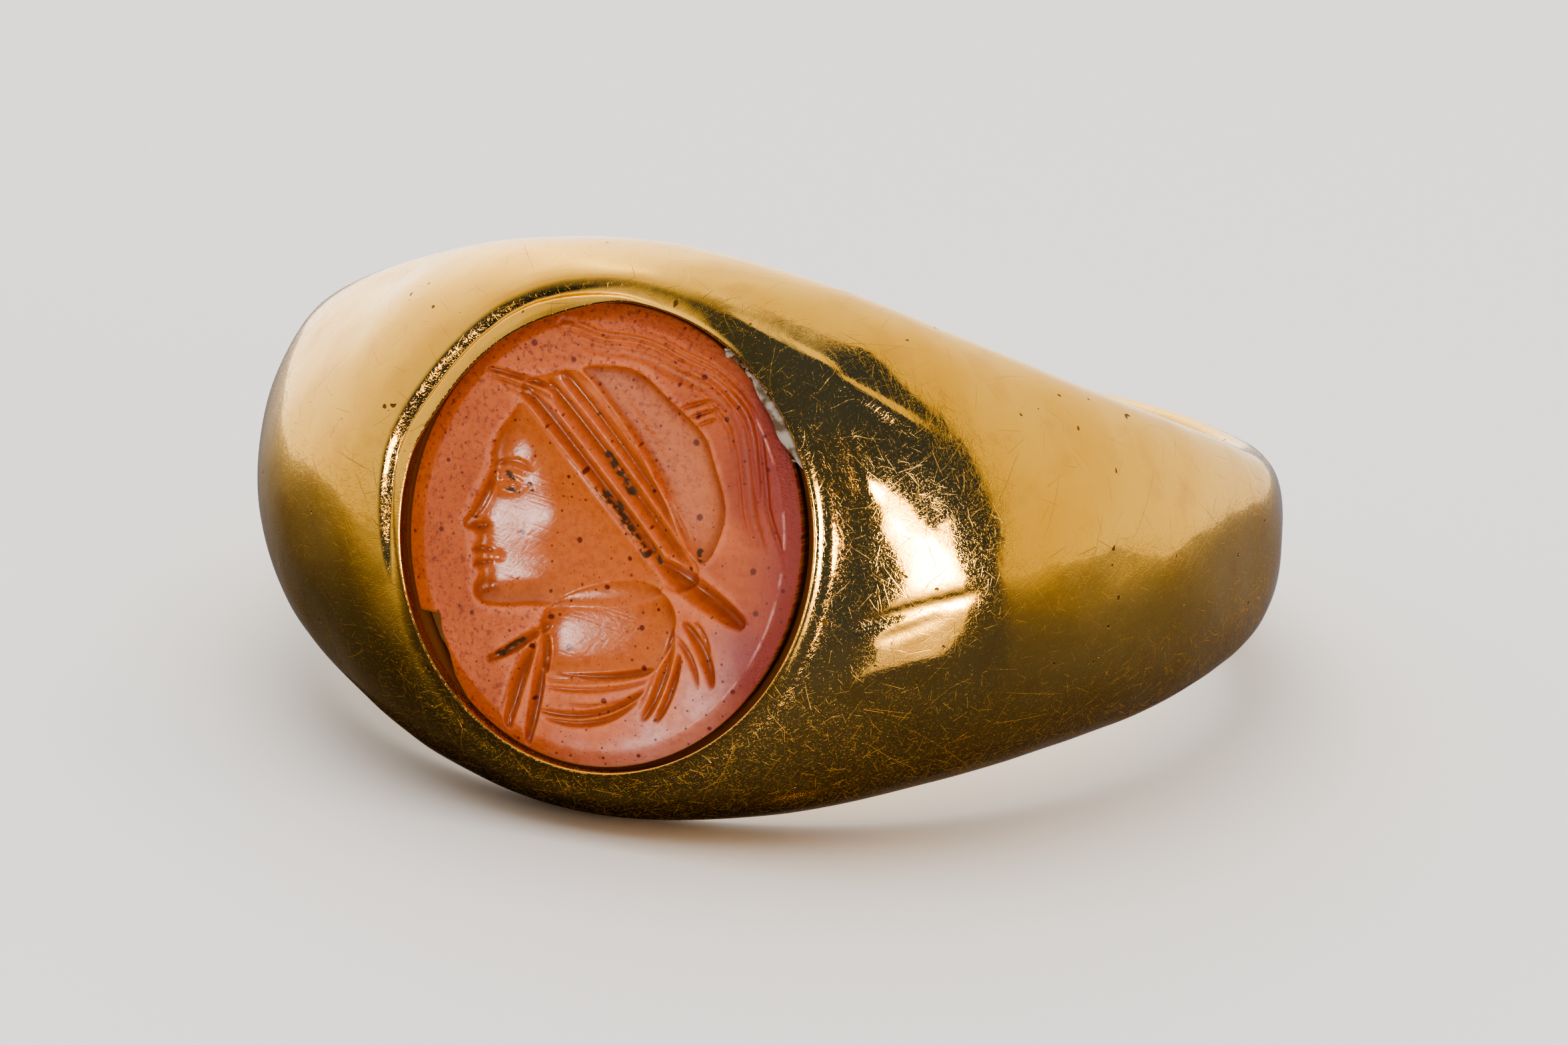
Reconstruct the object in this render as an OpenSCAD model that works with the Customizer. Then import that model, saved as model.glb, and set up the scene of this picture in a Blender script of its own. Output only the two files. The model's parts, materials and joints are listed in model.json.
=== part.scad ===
// Gold finger ring with an engraved oval stone, lying on its side. Millimetres.
// Z is up, the bezel faces -Y and X runs across the finger. The origin is on the surface
// that the ring lies on, under the middle of the ring's bounding box.
// The shapes are first made as worn, round the finger hole's axis, and are then laid down.

/* [Finger hole] */
// Diameter of the finger hole
hole_d = 19.2; // [18.6:0.1:19.8]
// Radius of the soft edge between the finger hole and the hoop's sides
rim_round = 0.35; // [0.25:0.05:0.45]

/* [Bezel] */
// From the finger hole's axis to the flat face round the stone
face_reach = 11.85; // [11.7:0.05:12]
// Height of the burnished lip over that face
lip_rise = 0.12; // [0.05:0.01:0.2]
// Width of the lip's top
lip_wall = 0.28; // [0.2:0.02:0.4]
// Opening for the stone, across the finger
opening_w = 9.5; // [9.4:0.05:9.6]
// Opening for the stone, along the finger
opening_h = 10.25; // [10.15:0.05:10.35]
// Depth of the stone's cell below the lip
cell_depth = 1.75; // [1.6:0.05:1.8]

/* [Stone] */
// Size of the stone's girdle, across the finger
stone_w = 9.0; // [8.9:0.05:9.1]
// Size of the stone's girdle, along the finger
stone_h = 10.1; // [10:0.02:10.14]
// How far the stone's face lies below the lip
stone_sink = 0.05; // [0:0.01:0.1]
// Width of the bevel round the stone's face
bevel_w = 0.36; // [0.2:0.02:0.5]
// Drop of that bevel
bevel_drop = 0.12; // [0.05:0.01:0.2]
// Depth of the chip that is broken from the stone's edge
chip_depth = 1.2; // [0.6:0.1:1.4]

/* [Bedding] */
// Thickness of the white bedding that shows beside the stone
bedding_t = 0.1; // [0.06:0.02:0.12]

/* [Rest] */
// Tilt of the finger hole's axis when the ring lies on its side
rest_tilt = 12.9; // [12.9:0.1:12.9]

/* [Hidden] */
AROUND = 96;
ACROSS = 24;
hole_r = hole_d / 2;
edge_r = hole_r + 0.85 * rim_round;
liner_r = hole_r - 0.5;
lip_reach = face_reach + lip_rise;
floor_reach = lip_reach - cell_depth;
stone_face = lip_reach - stone_sink;
seat_gap = 0.03;
stone_back = floor_reach + seat_gap;

// Sections of the hoop, a row each ROW_STEP degrees from the bezel round to the back
ROW_STEP = 20;
HALF_WIDTH = 0;
CROWN = 1;
FULLNESS = 2;
//           half width  crown over the hole  fullness of the curve, 2 is an ellipse
SECTIONS = [
    [6.28, 3.60, 2.60],
    [5.85, 3.45, 2.15],
    [4.86, 3.30, 1.80],
    [3.80, 2.42, 1.95],
    [2.88, 1.60, 2.30],
    [2.12, 1.42, 2.40],
    [1.88, 1.08, 2.30],
    [1.88, 0.90, 2.15],
    [1.86, 0.84, 2.05],
    [1.70, 0.90, 2.00]
];
LAST = len(SECTIONS) - 1;

// Row number i, with the table mirrored at the bezel and at the back
function row(i) = SECTIONS[i < 0 ? -i : i > LAST ? 2 * LAST - i : i];

// Smooth curve through a column of the table at an angle from the bezel
function column(angle, c) =
    let (
        u = abs(angle) / ROW_STEP,
        i = min(floor(u), LAST - 1),
        t = u - i,
        p = row(i - 1)[c],
        q = row(i)[c],
        r = row(i + 1)[c],
        s = row(i + 2)[c]
    )
    q + t / 2 * ((r - p) + t * ((2 * p - 5 * q + 4 * r - s) + t * (3 * (q - r) + s - p)));

// Signed power, which turns an ellipse's sine and cosine into a fuller or a leaner curve
function bent(x, n) = sign(x) * pow(abs(x), 2 / n);

// One section as [distance from the axis, place along the axis], from rim to rim over the crown
function flank(angle) =
    let (
        w = column(angle, HALF_WIDTH),
        crown_r = hole_r + column(angle, CROWN),
        n = column(angle, FULLNESS)
    )
    [for (k = [0:ACROSS])
        let (s = -90 + 180 * k / ACROSS)
        [edge_r + (crown_r - edge_r) * bent(cos(s), n), w * bent(sin(s), n)]];

RIM_TURNS = [15, 30, 45];
// The soft edge, from the rim towards the finger hole; side is 1 for the upper rim, -1 for the lower
function rim(angle, side) =
    let (w = column(angle, HALF_WIDTH))
    [for (a = RIM_TURNS) [edge_r - rim_round * sin(a), side * (w - rim_round * (1 - cos(a)))]];

function liner(angle, side) =
    let (last = rim(angle, side)[2])
    [liner_r, last[1] - side * (last[0] - liner_r)];

function reversed(list) = [for (i = [len(list) - 1:-1:0]) list[i]];

function section(angle) = concat(
    [liner(angle, -1)],
    reversed(rim(angle, -1)),
    flank(angle),
    rim(angle, 1),
    [liner(angle, 1)]
);

// A section's points placed round the axis; angle 0 is the bezel, at -Y
function placed(list, angle) = [for (p = list) [p[0] * sin(angle), -p[0] * cos(angle), p[1]]];

TURNS = [for (i = [0:AROUND - 1]) i <= AROUND / 2 ? 360 * i / AROUND : 360 * i / AROUND - 360];
HOOP = [for (a = TURNS) placed(section(a), a)];
RING_SIZE = len(HOOP[0]);
SKIN = [for (ring = HOOP) for (k = [1:RING_SIZE - 2]) ring[k]];

// The same places once the ring lies on its side, before it is set on its origin
function laid_y(p) = p[1] * cos(rest_tilt) + p[2] * sin(rest_tilt);
function laid_z(p) = p[2] * cos(rest_tilt) - p[1] * sin(rest_tilt);
function cut_back(p) = [p[0], max(p[1], -face_reach), p[2]];
function oval(rx, rz, steps = 96) = [
    for (i = [0:steps - 1]) [rx * cos(360 * i / steps), rz * sin(360 * i / steps)]
];
LIP_LINE = [for (p = oval(opening_w / 2 + lip_wall, opening_h / 2 + lip_wall)) [p[0], -lip_reach, p[1]]];
OUTSIDE = concat([for (p = SKIN) cut_back(p)], LIP_LINE);
front_y = min([for (p = OUTSIDE) laid_y(p)]);
rear_y = max([for (p = OUTSIDE) laid_y(p)]);
lowest_z = min([for (p = OUTSIDE) laid_z(p)]);

// Joins rings of points into a closed band round the axis
function band_faces(rings, size) = [
    for (i = [0:rings - 1])
        for (k = [0:size - 1])
            let (
                a = i * size + k,
                b = i * size + (k + 1) % size,
                c = ((i + 1) % rings) * size + (k + 1) % size,
                d = ((i + 1) % rings) * size + k
            )
            each [[a, b, c], [a, c, d]]
];

module lay_down() {
    translate([0, -(front_y + rear_y) / 2, -lowest_z]) rotate([-rest_tilt, 0, 0]) children();
}

// A straight-sided solid in front of the axis, from one reach to another, of an outline seen from the bezel
module plate(outline, near, far) {
    translate([0, -near, 0]) rotate([90, 0, 0]) linear_extrude(far - near) polygon(outline);
}

module hoop() {
    polyhedron([for (ring = HOOP) each ring], band_faces(AROUND, RING_SIZE), convexity = 8);
}

module bezel_trim() {
    translate([-12, -face_reach - 5, -10]) cube([24, 5, 20]);
}

module finger_hole() {
    translate([0, 0, -10]) cylinder(r = hole_r, h = 20, $fn = 96);
}

module ring() {
    color("goldenrod") lay_down() difference() {
        union() {
            difference() {
                hoop();
                bezel_trim();
            }
            plate(oval(opening_w / 2 + lip_wall, opening_h / 2 + lip_wall), face_reach - 0.5, lip_reach);
        }
        plate(oval(opening_w / 2, opening_h / 2), floor_reach, lip_reach + 1);
        finger_hole();
    }
}

// The stone's outline shrinks from the girdle to the face and to the back: [shrink, reach]
STONE_LEVELS = [
    [0.45, stone_back],
    [0, stone_back + 0.5],
    [0, stone_face - bevel_drop],
    [bevel_w, stone_face]
];
STONE_STEPS = 96;

function stone_ring(level) = [
    for (p = oval(stone_w / 2 - level[0], stone_h / 2 - level[0], STONE_STEPS)) [p[0], -level[1], p[1]]
];

module blank_stone() {
    top = len(STONE_LEVELS) - 1;
    polyhedron(
        [for (level = STONE_LEVELS) each stone_ring(level)],
        concat(
            [[for (i = [0:STONE_STEPS - 1]) i]],
            [for (l = [0:top - 1])
                for (i = [0:STONE_STEPS - 1])
                    let (j = (i + 1) % STONE_STEPS, low = l * STONE_STEPS, high = low + STONE_STEPS)
                    [low + j, low + i, high + i, high + j]],
            [[for (i = [STONE_STEPS - 1:-1:0]) top * STONE_STEPS + i]]
        )
    );
}

// A cut made by a turning wheel with a V edge, along a line on the stone's face
module wheel_cut(x1, z1, x2, z2, width, depth) {
    run = norm([x2 - x1, z2 - z1]);
    wheel_r = (run * run / 4 + depth * depth) / (2 * depth);
    edge_h = min(wheel_r, 3 * depth);
    half = width / 2 * edge_h / depth;
    translate([(x1 + x2) / 2, -(stone_face + wheel_r - depth), (z1 + z2) / 2])
        rotate([0, -atan2(z2 - z1, x2 - x1), 0])
            rotate_extrude($fn = 48)
                polygon([[wheel_r, 0], [wheel_r - edge_h, half], [wheel_r - edge_h, -half]]);
}

// A round hollow made by a ball-ended drill
module ball_cut(x, z, width, depth) {
    ball_r = (width * width / 4 + depth * depth) / (2 * depth);
    translate([x, -(stone_face + ball_r - depth), z]) sphere(r = ball_r, $fn = 48);
}

// Hollows of the bust and of the helmet's bowl: centre across, centre along, width, depth
HOLLOWS = [
    // bowl of the helmet
    [0.05, 2.78, 2.00, 0.36],
    [0.75, 2.36, 2.50, 0.46],
    [1.36, 1.76, 2.46, 0.48],
    [1.78, 1.02, 2.14, 0.42],
    [2.02, 0.36, 1.50, 0.30],
    // forehead, cheek, jaw and chin
    [-1.96, 1.80, 1.50, 0.30],
    [-1.74, 0.94, 2.10, 0.42],
    [-1.40, 0.02, 2.60, 0.50],
    [-1.36, -0.92, 2.10, 0.42],
    [-2.18, -1.46, 1.00, 0.25],
    [-0.36, -0.52, 2.20, 0.42],
    // eye
    [-2.30, 0.74, 0.40, 0.42],
    // neck
    [-0.42, -2.02, 1.86, 0.44],
    [0.46, -1.98, 2.20, 0.52],
    [1.12, -1.62, 1.60, 0.38]
];

// Wheel cuts: from x and z to x and z, then the cut's width and depth
CUTS = [
    // nose, nostril, lips and under the chin
    [-2.78, 1.20, -3.18, -0.28, 0.34, 0.16],
    [-3.10, -0.34, -2.62, -0.36, 0.20, 0.12],
    [-3.00, -0.68, -2.52, -0.76, 0.22, 0.12],
    [-2.94, -0.98, -2.50, -0.94, 0.22, 0.12],
    [-2.66, 0.98, -1.98, 1.06, 0.16, 0.12],
    // peak of the helmet
    [-3.07, 3.24, -1.55, 2.98, 0.22, 0.14],
    [-2.98, 3.06, -1.50, 2.74, 0.20, 0.12],
    // three long grooves of the helmet's brim
    [-2.30, 2.90, 1.78, -1.02, 0.42, 0.26],
    [-1.90, 2.98, 1.60, -0.72, 0.26, 0.18],
    [-1.68, 3.28, 1.85, -0.52, 0.34, 0.24],
    [1.30, -0.22, 3.42, -1.44, 0.46, 0.24],
    // crest
    [-1.36, 4.14, 0.60, 4.40, 0.18, 0.09],
    [-0.40, 4.40, 1.55, 4.12, 0.18, 0.10],
    [1.20, 4.24, 2.75, 3.42, 0.18, 0.10],
    [2.45, 3.66, 3.36, 2.60, 0.16, 0.08],
    [0.10, 4.12, 2.10, 3.60, 0.14, 0.06],
    // tassel at the crest's end
    [1.55, 3.14, 2.24, 3.32, 0.14, 0.08],
    [1.70, 2.94, 2.32, 3.14, 0.14, 0.08],
    [1.80, 2.78, 2.28, 2.94, 0.12, 0.06],
    // gathered dress on the near shoulder
    [-1.10, -2.20, -2.38, -3.04, 0.26, 0.14],
    [-1.48, -2.46, -1.74, -4.46, 0.30, 0.16],
    [-1.14, -2.32, -1.24, -4.80, 0.28, 0.16],
    // folds across the breast
    [-1.18, -3.26, 1.40, -2.78, 0.20, 0.12],
    [-1.08, -3.52, 1.42, -3.02, 0.22, 0.12],
    [-1.08, -4.02, 0.62, -3.94, 0.22, 0.12],
    [-0.30, -4.12, 1.36, -3.28, 0.22, 0.12],
    [-0.50, -3.86, 1.20, -3.46, 0.18, 0.10],
    // gathered dress on the far shoulder
    [1.80, -1.84, 1.24, -3.86, 0.30, 0.16],
    [2.06, -2.20, 1.70, -3.92, 0.26, 0.14],
    [2.14, -1.56, 2.64, -2.94, 0.24, 0.14],
    [2.40, -1.54, 2.88, -2.84, 0.22, 0.12]
];

// Corners of the chip at the stone's edge, seen from the bezel
CHIP = [
    [-5.2, -2.22],
    [-3.55, -2.25],
    [-3.43, -2.64],
    [-3.22, -3.22],
    [-3.08, -3.6],
    [-2.6, -4.1],
    [-3.2, -5.2],
    [-5.2, -5.2]
];

module intaglio() {
    color("orangered") lay_down() difference() {
        blank_stone();
        plate(CHIP, stone_face - chip_depth, stone_face + 1);
        for (h = HOLLOWS) ball_cut(h[0], h[1], h[2], h[3]);
        for (c = CUTS) wheel_cut(c[0], c[1], c[2], c[3], c[4], c[5]);
    }
}

// Bedding stands in the gap between the stone and the cell's wall, over part of the way round
BEDDING_ARC = [22, 58];
BEDDING_STEPS = 12;
bedding_clear = 0.02;

function bedding_line(inset) = [
    for (i = [0:BEDDING_STEPS])
        let (a = BEDDING_ARC[0] + (BEDDING_ARC[1] - BEDDING_ARC[0]) * i / BEDDING_STEPS)
        [(opening_w / 2 - inset) * cos(a), (opening_h / 2 - inset) * sin(a)]
];

module bedding() {
    color("ivory") lay_down()
        plate(
            concat(bedding_line(bedding_clear), reversed(bedding_line(bedding_clear + bedding_t))),
            floor_reach + seat_gap,
            stone_face - bevel_drop
        );
}

ring();
intaglio();
bedding();
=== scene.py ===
"""Looks of a gold finger ring with an engraved carnelian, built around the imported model.

Sizes in this file are in millimetres until a mesh is made, and angles are in degrees. The shapes
are first made as worn: Z runs along the finger, the bezel faces -Y and X runs across it.
"""

import json
import math

import bmesh
import bpy
import numpy as np
from mathutils import Matrix, Vector, noise


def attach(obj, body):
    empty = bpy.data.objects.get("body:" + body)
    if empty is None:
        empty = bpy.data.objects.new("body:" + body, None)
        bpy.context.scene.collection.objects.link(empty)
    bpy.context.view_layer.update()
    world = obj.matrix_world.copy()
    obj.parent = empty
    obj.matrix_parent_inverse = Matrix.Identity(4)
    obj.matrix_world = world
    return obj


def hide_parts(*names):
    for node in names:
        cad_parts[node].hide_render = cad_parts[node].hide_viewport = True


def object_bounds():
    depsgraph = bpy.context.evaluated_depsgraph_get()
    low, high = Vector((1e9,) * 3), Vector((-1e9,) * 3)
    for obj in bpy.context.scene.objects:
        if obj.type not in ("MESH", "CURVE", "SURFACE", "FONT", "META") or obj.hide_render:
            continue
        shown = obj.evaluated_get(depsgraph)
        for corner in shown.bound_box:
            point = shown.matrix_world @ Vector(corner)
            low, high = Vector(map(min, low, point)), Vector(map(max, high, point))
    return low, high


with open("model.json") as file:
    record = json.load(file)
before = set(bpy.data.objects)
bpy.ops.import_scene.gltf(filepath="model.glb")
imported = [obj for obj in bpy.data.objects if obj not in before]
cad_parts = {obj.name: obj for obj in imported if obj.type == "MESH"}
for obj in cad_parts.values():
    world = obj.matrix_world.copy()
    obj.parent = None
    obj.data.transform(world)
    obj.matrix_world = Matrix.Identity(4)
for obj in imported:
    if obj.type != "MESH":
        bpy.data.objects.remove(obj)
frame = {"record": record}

CAD_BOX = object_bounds()
MM = 0.001
RECORD = frame["record"]
FINGER_HOLE = next(m for m in RECORD["mounts"] if m["name"] == "finger_hole")

# The frame in which the ring is made, as worn, and its place as the ring lies
HOLE_R = FINGER_HOLE["dims"]["r_mm"]
FINGER_AXIS = np.array(FINGER_HOLE["axis"])
ACROSS_AXIS = np.array([1.0, 0.0, 0.0])
WORN_AXES = np.array([ACROSS_AXIS, np.cross(FINGER_AXIS, ACROSS_AXIS), FINGER_AXIS])
WORN_ORIGIN = np.array(FINGER_HOLE["pos_m"])


def laid(points):
    """Points as worn, in millimetres, to their place on the ring as it lies, in metres."""
    return points @ WORN_AXES * MM + WORN_ORIGIN


def new_object(name, data):
    thing = bpy.data.objects.new(name, data)
    bpy.context.scene.collection.objects.link(thing)
    return thing


# Camera

PHOTO_WIDTH = 2353
SENSOR = 36.0
CAMERA_AZIMUTH = 20.21
CAMERA_ELEVATION = 20.26
CAMERA_ROLL = 1.964
CAMERA_DISTANCE = 385.27
CAMERA_AIM = (0.176, -2.377)
AIM_HEIGHT = 6.0
PHOTO_PIXELS_PER_MM = 67.857


def make_camera():
    azimuth, elevation, roll = np.radians([CAMERA_AZIMUTH, CAMERA_ELEVATION, CAMERA_ROLL])
    back = Vector(
        (
            math.sin(azimuth) * math.cos(elevation),
            -math.cos(azimuth) * math.cos(elevation),
            math.sin(elevation),
        )
    )
    level = Vector((math.cos(azimuth), math.sin(azimuth), 0.0))
    upright = back.cross(level)
    right = math.cos(roll) * level + math.sin(roll) * upright
    up = math.cos(roll) * upright - math.sin(roll) * level
    aim = Vector((0, 0, AIM_HEIGHT)) + CAMERA_AIM[0] * right + CAMERA_AIM[1] * up
    data = bpy.data.cameras.new("camera")
    data.sensor_width = SENSOR
    data.lens = PHOTO_PIXELS_PER_MM * CAMERA_DISTANCE * SENSOR / PHOTO_WIDTH
    data.clip_start = 0.01
    camera = new_object("camera", data)
    turn = Matrix((right, up, back)).transposed().to_4x4()
    camera.matrix_world = Matrix.Translation((aim + CAMERA_DISTANCE * back) * MM) @ turn
    bpy.context.scene.camera = camera


make_camera()


# Small tools for meshes


def smooth_step(value, low, high):
    t = np.clip((value - low) / (high - low), 0, 1)
    return t * t * (3 - 2 * t)


def soft_min(a, b, blend):
    """The lower of two heights, rounded where they meet over a stretch of the given size."""
    h = np.maximum(blend - np.abs(a - b), 0) / blend
    return np.minimum(a, b) - h * h * blend / 4


def soft_max(a, b, blend):
    return -soft_min(-a, -b, blend)


def grid_faces(rows, columns, closed=False, start=0):
    """Quads between rows of points; a closed grid joins its last column to its first."""
    faces = []
    for r in range(rows - 1):
        for c in range(columns if closed else columns - 1):
            d = (c + 1) % columns
            low, high = start + r * columns, start + (r + 1) * columns
            faces.append((low + c, low + d, high + d, high + c))
    return faces


def capped_faces(rows, columns, start=0):
    """Quads between closed rings of points, and a fan from the last ring to one more point."""
    faces = grid_faces(rows, columns, closed=True, start=start)
    last, tip = start + (rows - 1) * columns, start + rows * columns
    return faces + [(last + i, last + (i + 1) % columns, tip) for i in range(columns)]


def waviness(points, size, seed):
    """Smooth noise from -1 to 1 at points in millimetres, with waves of about the given size."""
    shift = Vector((seed, 1.7 * seed, 2.3 * seed))
    return np.array([noise.noise(Vector(p) / size + shift) for p in points])


def make_piece(name, points, faces, merge=0.0, layers=None):
    """A closed mesh object from points as worn; layers are named values, one for each point."""
    mesh = bpy.data.meshes.new(name)
    mesh.from_pydata(laid(points).tolist(), [], faces)
    for layer, values in (layers or {}).items():
        attribute = mesh.attributes.new(layer, "FLOAT", "POINT")
        attribute.data.foreach_set("value", np.asarray(values, np.float32))
    work = bmesh.new()
    work.from_mesh(mesh)
    if merge:
        bmesh.ops.remove_doubles(work, verts=work.verts, dist=merge * MM)
    bmesh.ops.recalc_face_normals(work, faces=work.faces)
    for face in work.faces:
        face.smooth = True
    work.to_mesh(mesh)
    work.free()
    return new_object(name, mesh)


# The gold ring

RIM_ROUND = 0.2975
EDGE_R = HOLE_R + RIM_ROUND
FACE_REACH = 11.85
FACE_FALL = 0.10
FACE_BLEND = 0.4
LIP_RISE = 0.12
OPENING = (9.5, 10.25)
CELL_DEPTH = 1.75

# Sections of the hoop, a row each SECTION_STEP degrees from the bezel round to the back
SECTION_STEP = 20.0
HALF_WIDTH, CROWN, FULLNESS = 0, 1, 2
SECTIONS = np.array(
    [
        # half width, crown over the hole, fullness of the curve, where 2 is an ellipse
        [6.28, 3.60, 2.60],
        [5.85, 3.45, 2.15],
        [4.86, 3.30, 1.80],
        [3.80, 2.42, 1.95],
        [2.88, 1.60, 2.30],
        [2.12, 1.42, 2.40],
        [1.88, 1.08, 2.30],
        [1.88, 0.90, 2.15],
        [1.86, 0.84, 2.05],
        [1.70, 0.90, 2.00],
    ]
)


def column(angle, c):
    """Smooth curve through a column of SECTIONS, at angles from the bezel."""
    rows = np.concatenate([SECTIONS[1:2, c], SECTIONS[:, c], SECTIONS[-2:-1, c]])
    step = np.abs((angle + 180) % 360 - 180) / SECTION_STEP
    i = np.minimum(step.astype(int), len(SECTIONS) - 2)
    t = step - i
    p, q, r, s = rows[i], rows[i + 1], rows[i + 2], rows[i + 3]
    return q + t / 2 * ((r - p) + t * ((2 * p - 5 * q + 4 * r - s) + t * (3 * (q - r) + s - p)))


def bent(x, fullness):
    return np.sign(x) * np.abs(x) ** (2 / fullness)


def around(radius, angle, height):
    """Points at a distance from the finger's axis, at an angle from the bezel."""
    a = np.radians(angle)
    return np.stack([radius * np.sin(a), -radius * np.cos(a), height + 0 * radius], -1)


def past_oval(x, z, size=OPENING):
    """Distance outwards from the edge of an oval, which is the opening unless another is given."""
    a, b = size[0] / 2, size[1] / 2
    k = np.sqrt((x / a) ** 2 + (z / b) ** 2)
    return (k - 1) * k / np.maximum(np.sqrt((x / a**2) ** 2 + (z / b**2) ** 2), 1e-9)


def skin(angle, turn):
    """The hoop's outside. Turn goes from -90 at the lower rim over the crown to 90 at the upper."""
    angle, turn = np.broadcast_arrays(np.asarray(angle, float), np.asarray(turn, float))
    half, crown, full = (column(angle, c) for c in (HALF_WIDTH, CROWN, FULLNESS))
    s = np.radians(turn)
    radius = EDGE_R + (HOLE_R + crown - EDGE_R) * bent(np.cos(s), full)
    points = around(radius, angle, half * bent(np.sin(s), full))
    fall = FACE_FALL * np.clip(past_oval(points[..., 0], points[..., 2]), 0, 3)
    points[..., 1] = -soft_min(-points[..., 1], FACE_REACH - fall, FACE_BLEND)
    return points


def skin_normal(angle, turn, step=0.2):
    along = skin(angle + step, turn) - skin(angle - step, turn)
    over = skin(angle, turn + step) - skin(angle, turn - step)
    normal = np.cross(along, over)
    return normal / np.linalg.norm(normal, axis=-1, keepdims=True)


def oval(theta, grow=0.0):
    """Places on the opening's edge seen from the bezel, moved outwards by grow."""
    a, b = OPENING[0] / 2, OPENING[1] / 2
    c, s = np.cos(np.radians(theta)), np.sin(np.radians(theta))
    out = np.stack([b * c, a * s], -1)
    out /= np.linalg.norm(out, axis=-1, keepdims=True)
    return np.stack([a * c, b * s], -1) + grow * out


# How a place on the skin is searched: reach of the first guess, rounds, step and longest move
GUESS_REACH = (11.9, 6.6)
SEARCH_ROUNDS = 30
SEARCH_STEP = 0.01
SEARCH_MOVE = 5


def skin_place(target):
    """Angle and turn at which the skin shows at the given places, seen from the bezel."""
    angle = np.degrees(np.arcsin(np.clip(target[..., 0] / GUESS_REACH[0], -0.9, 0.9)))
    turn = np.degrees(np.arcsin(np.clip(target[..., 1] / GUESS_REACH[1], -0.95, 0.95)))
    step = SEARCH_STEP
    for _ in range(SEARCH_ROUNDS):
        here = skin(angle, turn)[..., [0, 2]]
        da = (skin(angle + step, turn)[..., [0, 2]] - here) / step
        dt = (skin(angle, turn + step)[..., [0, 2]] - here) / step
        miss = target - here
        det = da[..., 0] * dt[..., 1] - da[..., 1] * dt[..., 0]
        move_a = (miss[..., 0] * dt[..., 1] - miss[..., 1] * dt[..., 0]) / det
        move_t = (da[..., 0] * miss[..., 1] - da[..., 1] * miss[..., 0]) / det
        angle = angle + np.clip(move_a, -SEARCH_MOVE, SEARCH_MOVE)
        turn = np.clip(turn + np.clip(move_t, -SEARCH_MOVE, SEARCH_MOVE), -89.9, 89.9)
    return angle, turn


# Where the hand-burnished lip is broad, where a trough runs outside it and where it leans over
# the stone: directions, and the cosines between which each one sets in round its direction
BROAD_LIP_AT = 143.0
BROAD_SPREAD = (0.45, 0.95)
TROUGH_AT = 140.0
TROUGH_SPREAD = (0.3, 0.9)
LEAN_AT = 130.0
LEAN_SPREAD = (0.77, 0.966)
LEAN_OVER = 0.16
BROAD_LIP = 0.30
THIN_LIP = 0.05
STEEP_SIDE = 0.07
EASY_SIDE = 0.34
TROUGH_WIDTH = 0.42
TROUGH_DEPTH = 0.15
LIP_ROUND = 0.03


def lean_over(theta):
    """How far the lip leans in over the stone, most at the top and the upper left."""
    towards = np.cos(theta - math.radians(LEAN_AT))
    return LEAN_OVER * smooth_step(towards, *LEAN_SPREAD)


def lip_relief(x, z):
    """Height that the lip and its trough add to the gold round the opening."""
    theta = np.arctan2(z / OPENING[1], x / OPENING[0])
    rho = past_oval(x, z) + lean_over(theta)
    broad = smooth_step(np.cos(theta - math.radians(BROAD_LIP_AT)), *BROAD_SPREAD)
    worn = smooth_step(np.cos(theta - math.radians(TROUGH_AT)), *TROUGH_SPREAD)
    wander = 0.03 * np.sin(3 * theta + 1) + 0.02 * np.sin(7 * theta)
    width = THIN_LIP + (BROAD_LIP - THIN_LIP) * broad + wander * (0.5 + broad)
    slope = np.clip(rho / width, 0, 1)
    top = LIP_RISE * (1.0 - 0.5 * slope * broad)
    side = EASY_SIDE + (STEEP_SIDE - EASY_SIDE) * broad
    past = np.clip((rho - width) / side, 0, 1)
    strip = top * (broad * (1 - smooth_step(past, 0, 1)) + (1 - broad) * (1 - past) ** 2)
    beyond = np.clip((rho - width) / TROUGH_WIDTH, 0, 1)
    trough = smooth_step(beyond, 0, 0.16) * (1 - beyond) ** 1.2 * 1.25
    edge = LIP_ROUND * (1 - smooth_step(rho, 0, LIP_ROUND))
    return strip - TROUGH_DEPTH * (0.1 + 0.9 * worn) * trough - edge


# Dents and swellings left by hammer, wear and polishing
DENTS = [
    # angle, turn, half length round the hoop, half length over it, height
    (-42, 62, 2.6, 2.4, -0.28),
    (-38, -8, 1.6, 1.4, -0.05),
    (53, -1, 1.3, 1.1, -0.06),
    (67, 2, 1.4, 1.1, 0.04),
    (34, 15, 0.5, 0.5, 0.020),
    (28, 3, 0.45, 0.6, -0.022),
    (36, 3, 0.5, 0.45, 0.020),
    (29, -17, 0.6, 0.5, 0.022),
    (35, -13, 0.5, 0.4, -0.018),
    (78, -6, 2.2, 1.4, 0.04),
    (100, 10, 1.8, 1.2, -0.04),
]
RIDGES = [
    # angle and turn at both ends, half width, height
    (8, 54, 31, 38, 0.16, 0.060),
    (9, 54, 22, 47, 0.12, 0.050),
    (27, -11, 38, -3, 0.13, -0.050),
    (29, -15, 35, -9, 0.10, -0.030),
    (24, -26, 36, -20, 0.30, 0.030),
    (23.5, 36, 26.5, 18, 0.30, 0.070),
    (29, 30, 35, 12, 0.30, -0.020),
]
WAVES = [
    # size of the waves, height, seed
    (3.1, 0.050, 3.0),
    (1.2, 0.022, 8.0),
]


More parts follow.
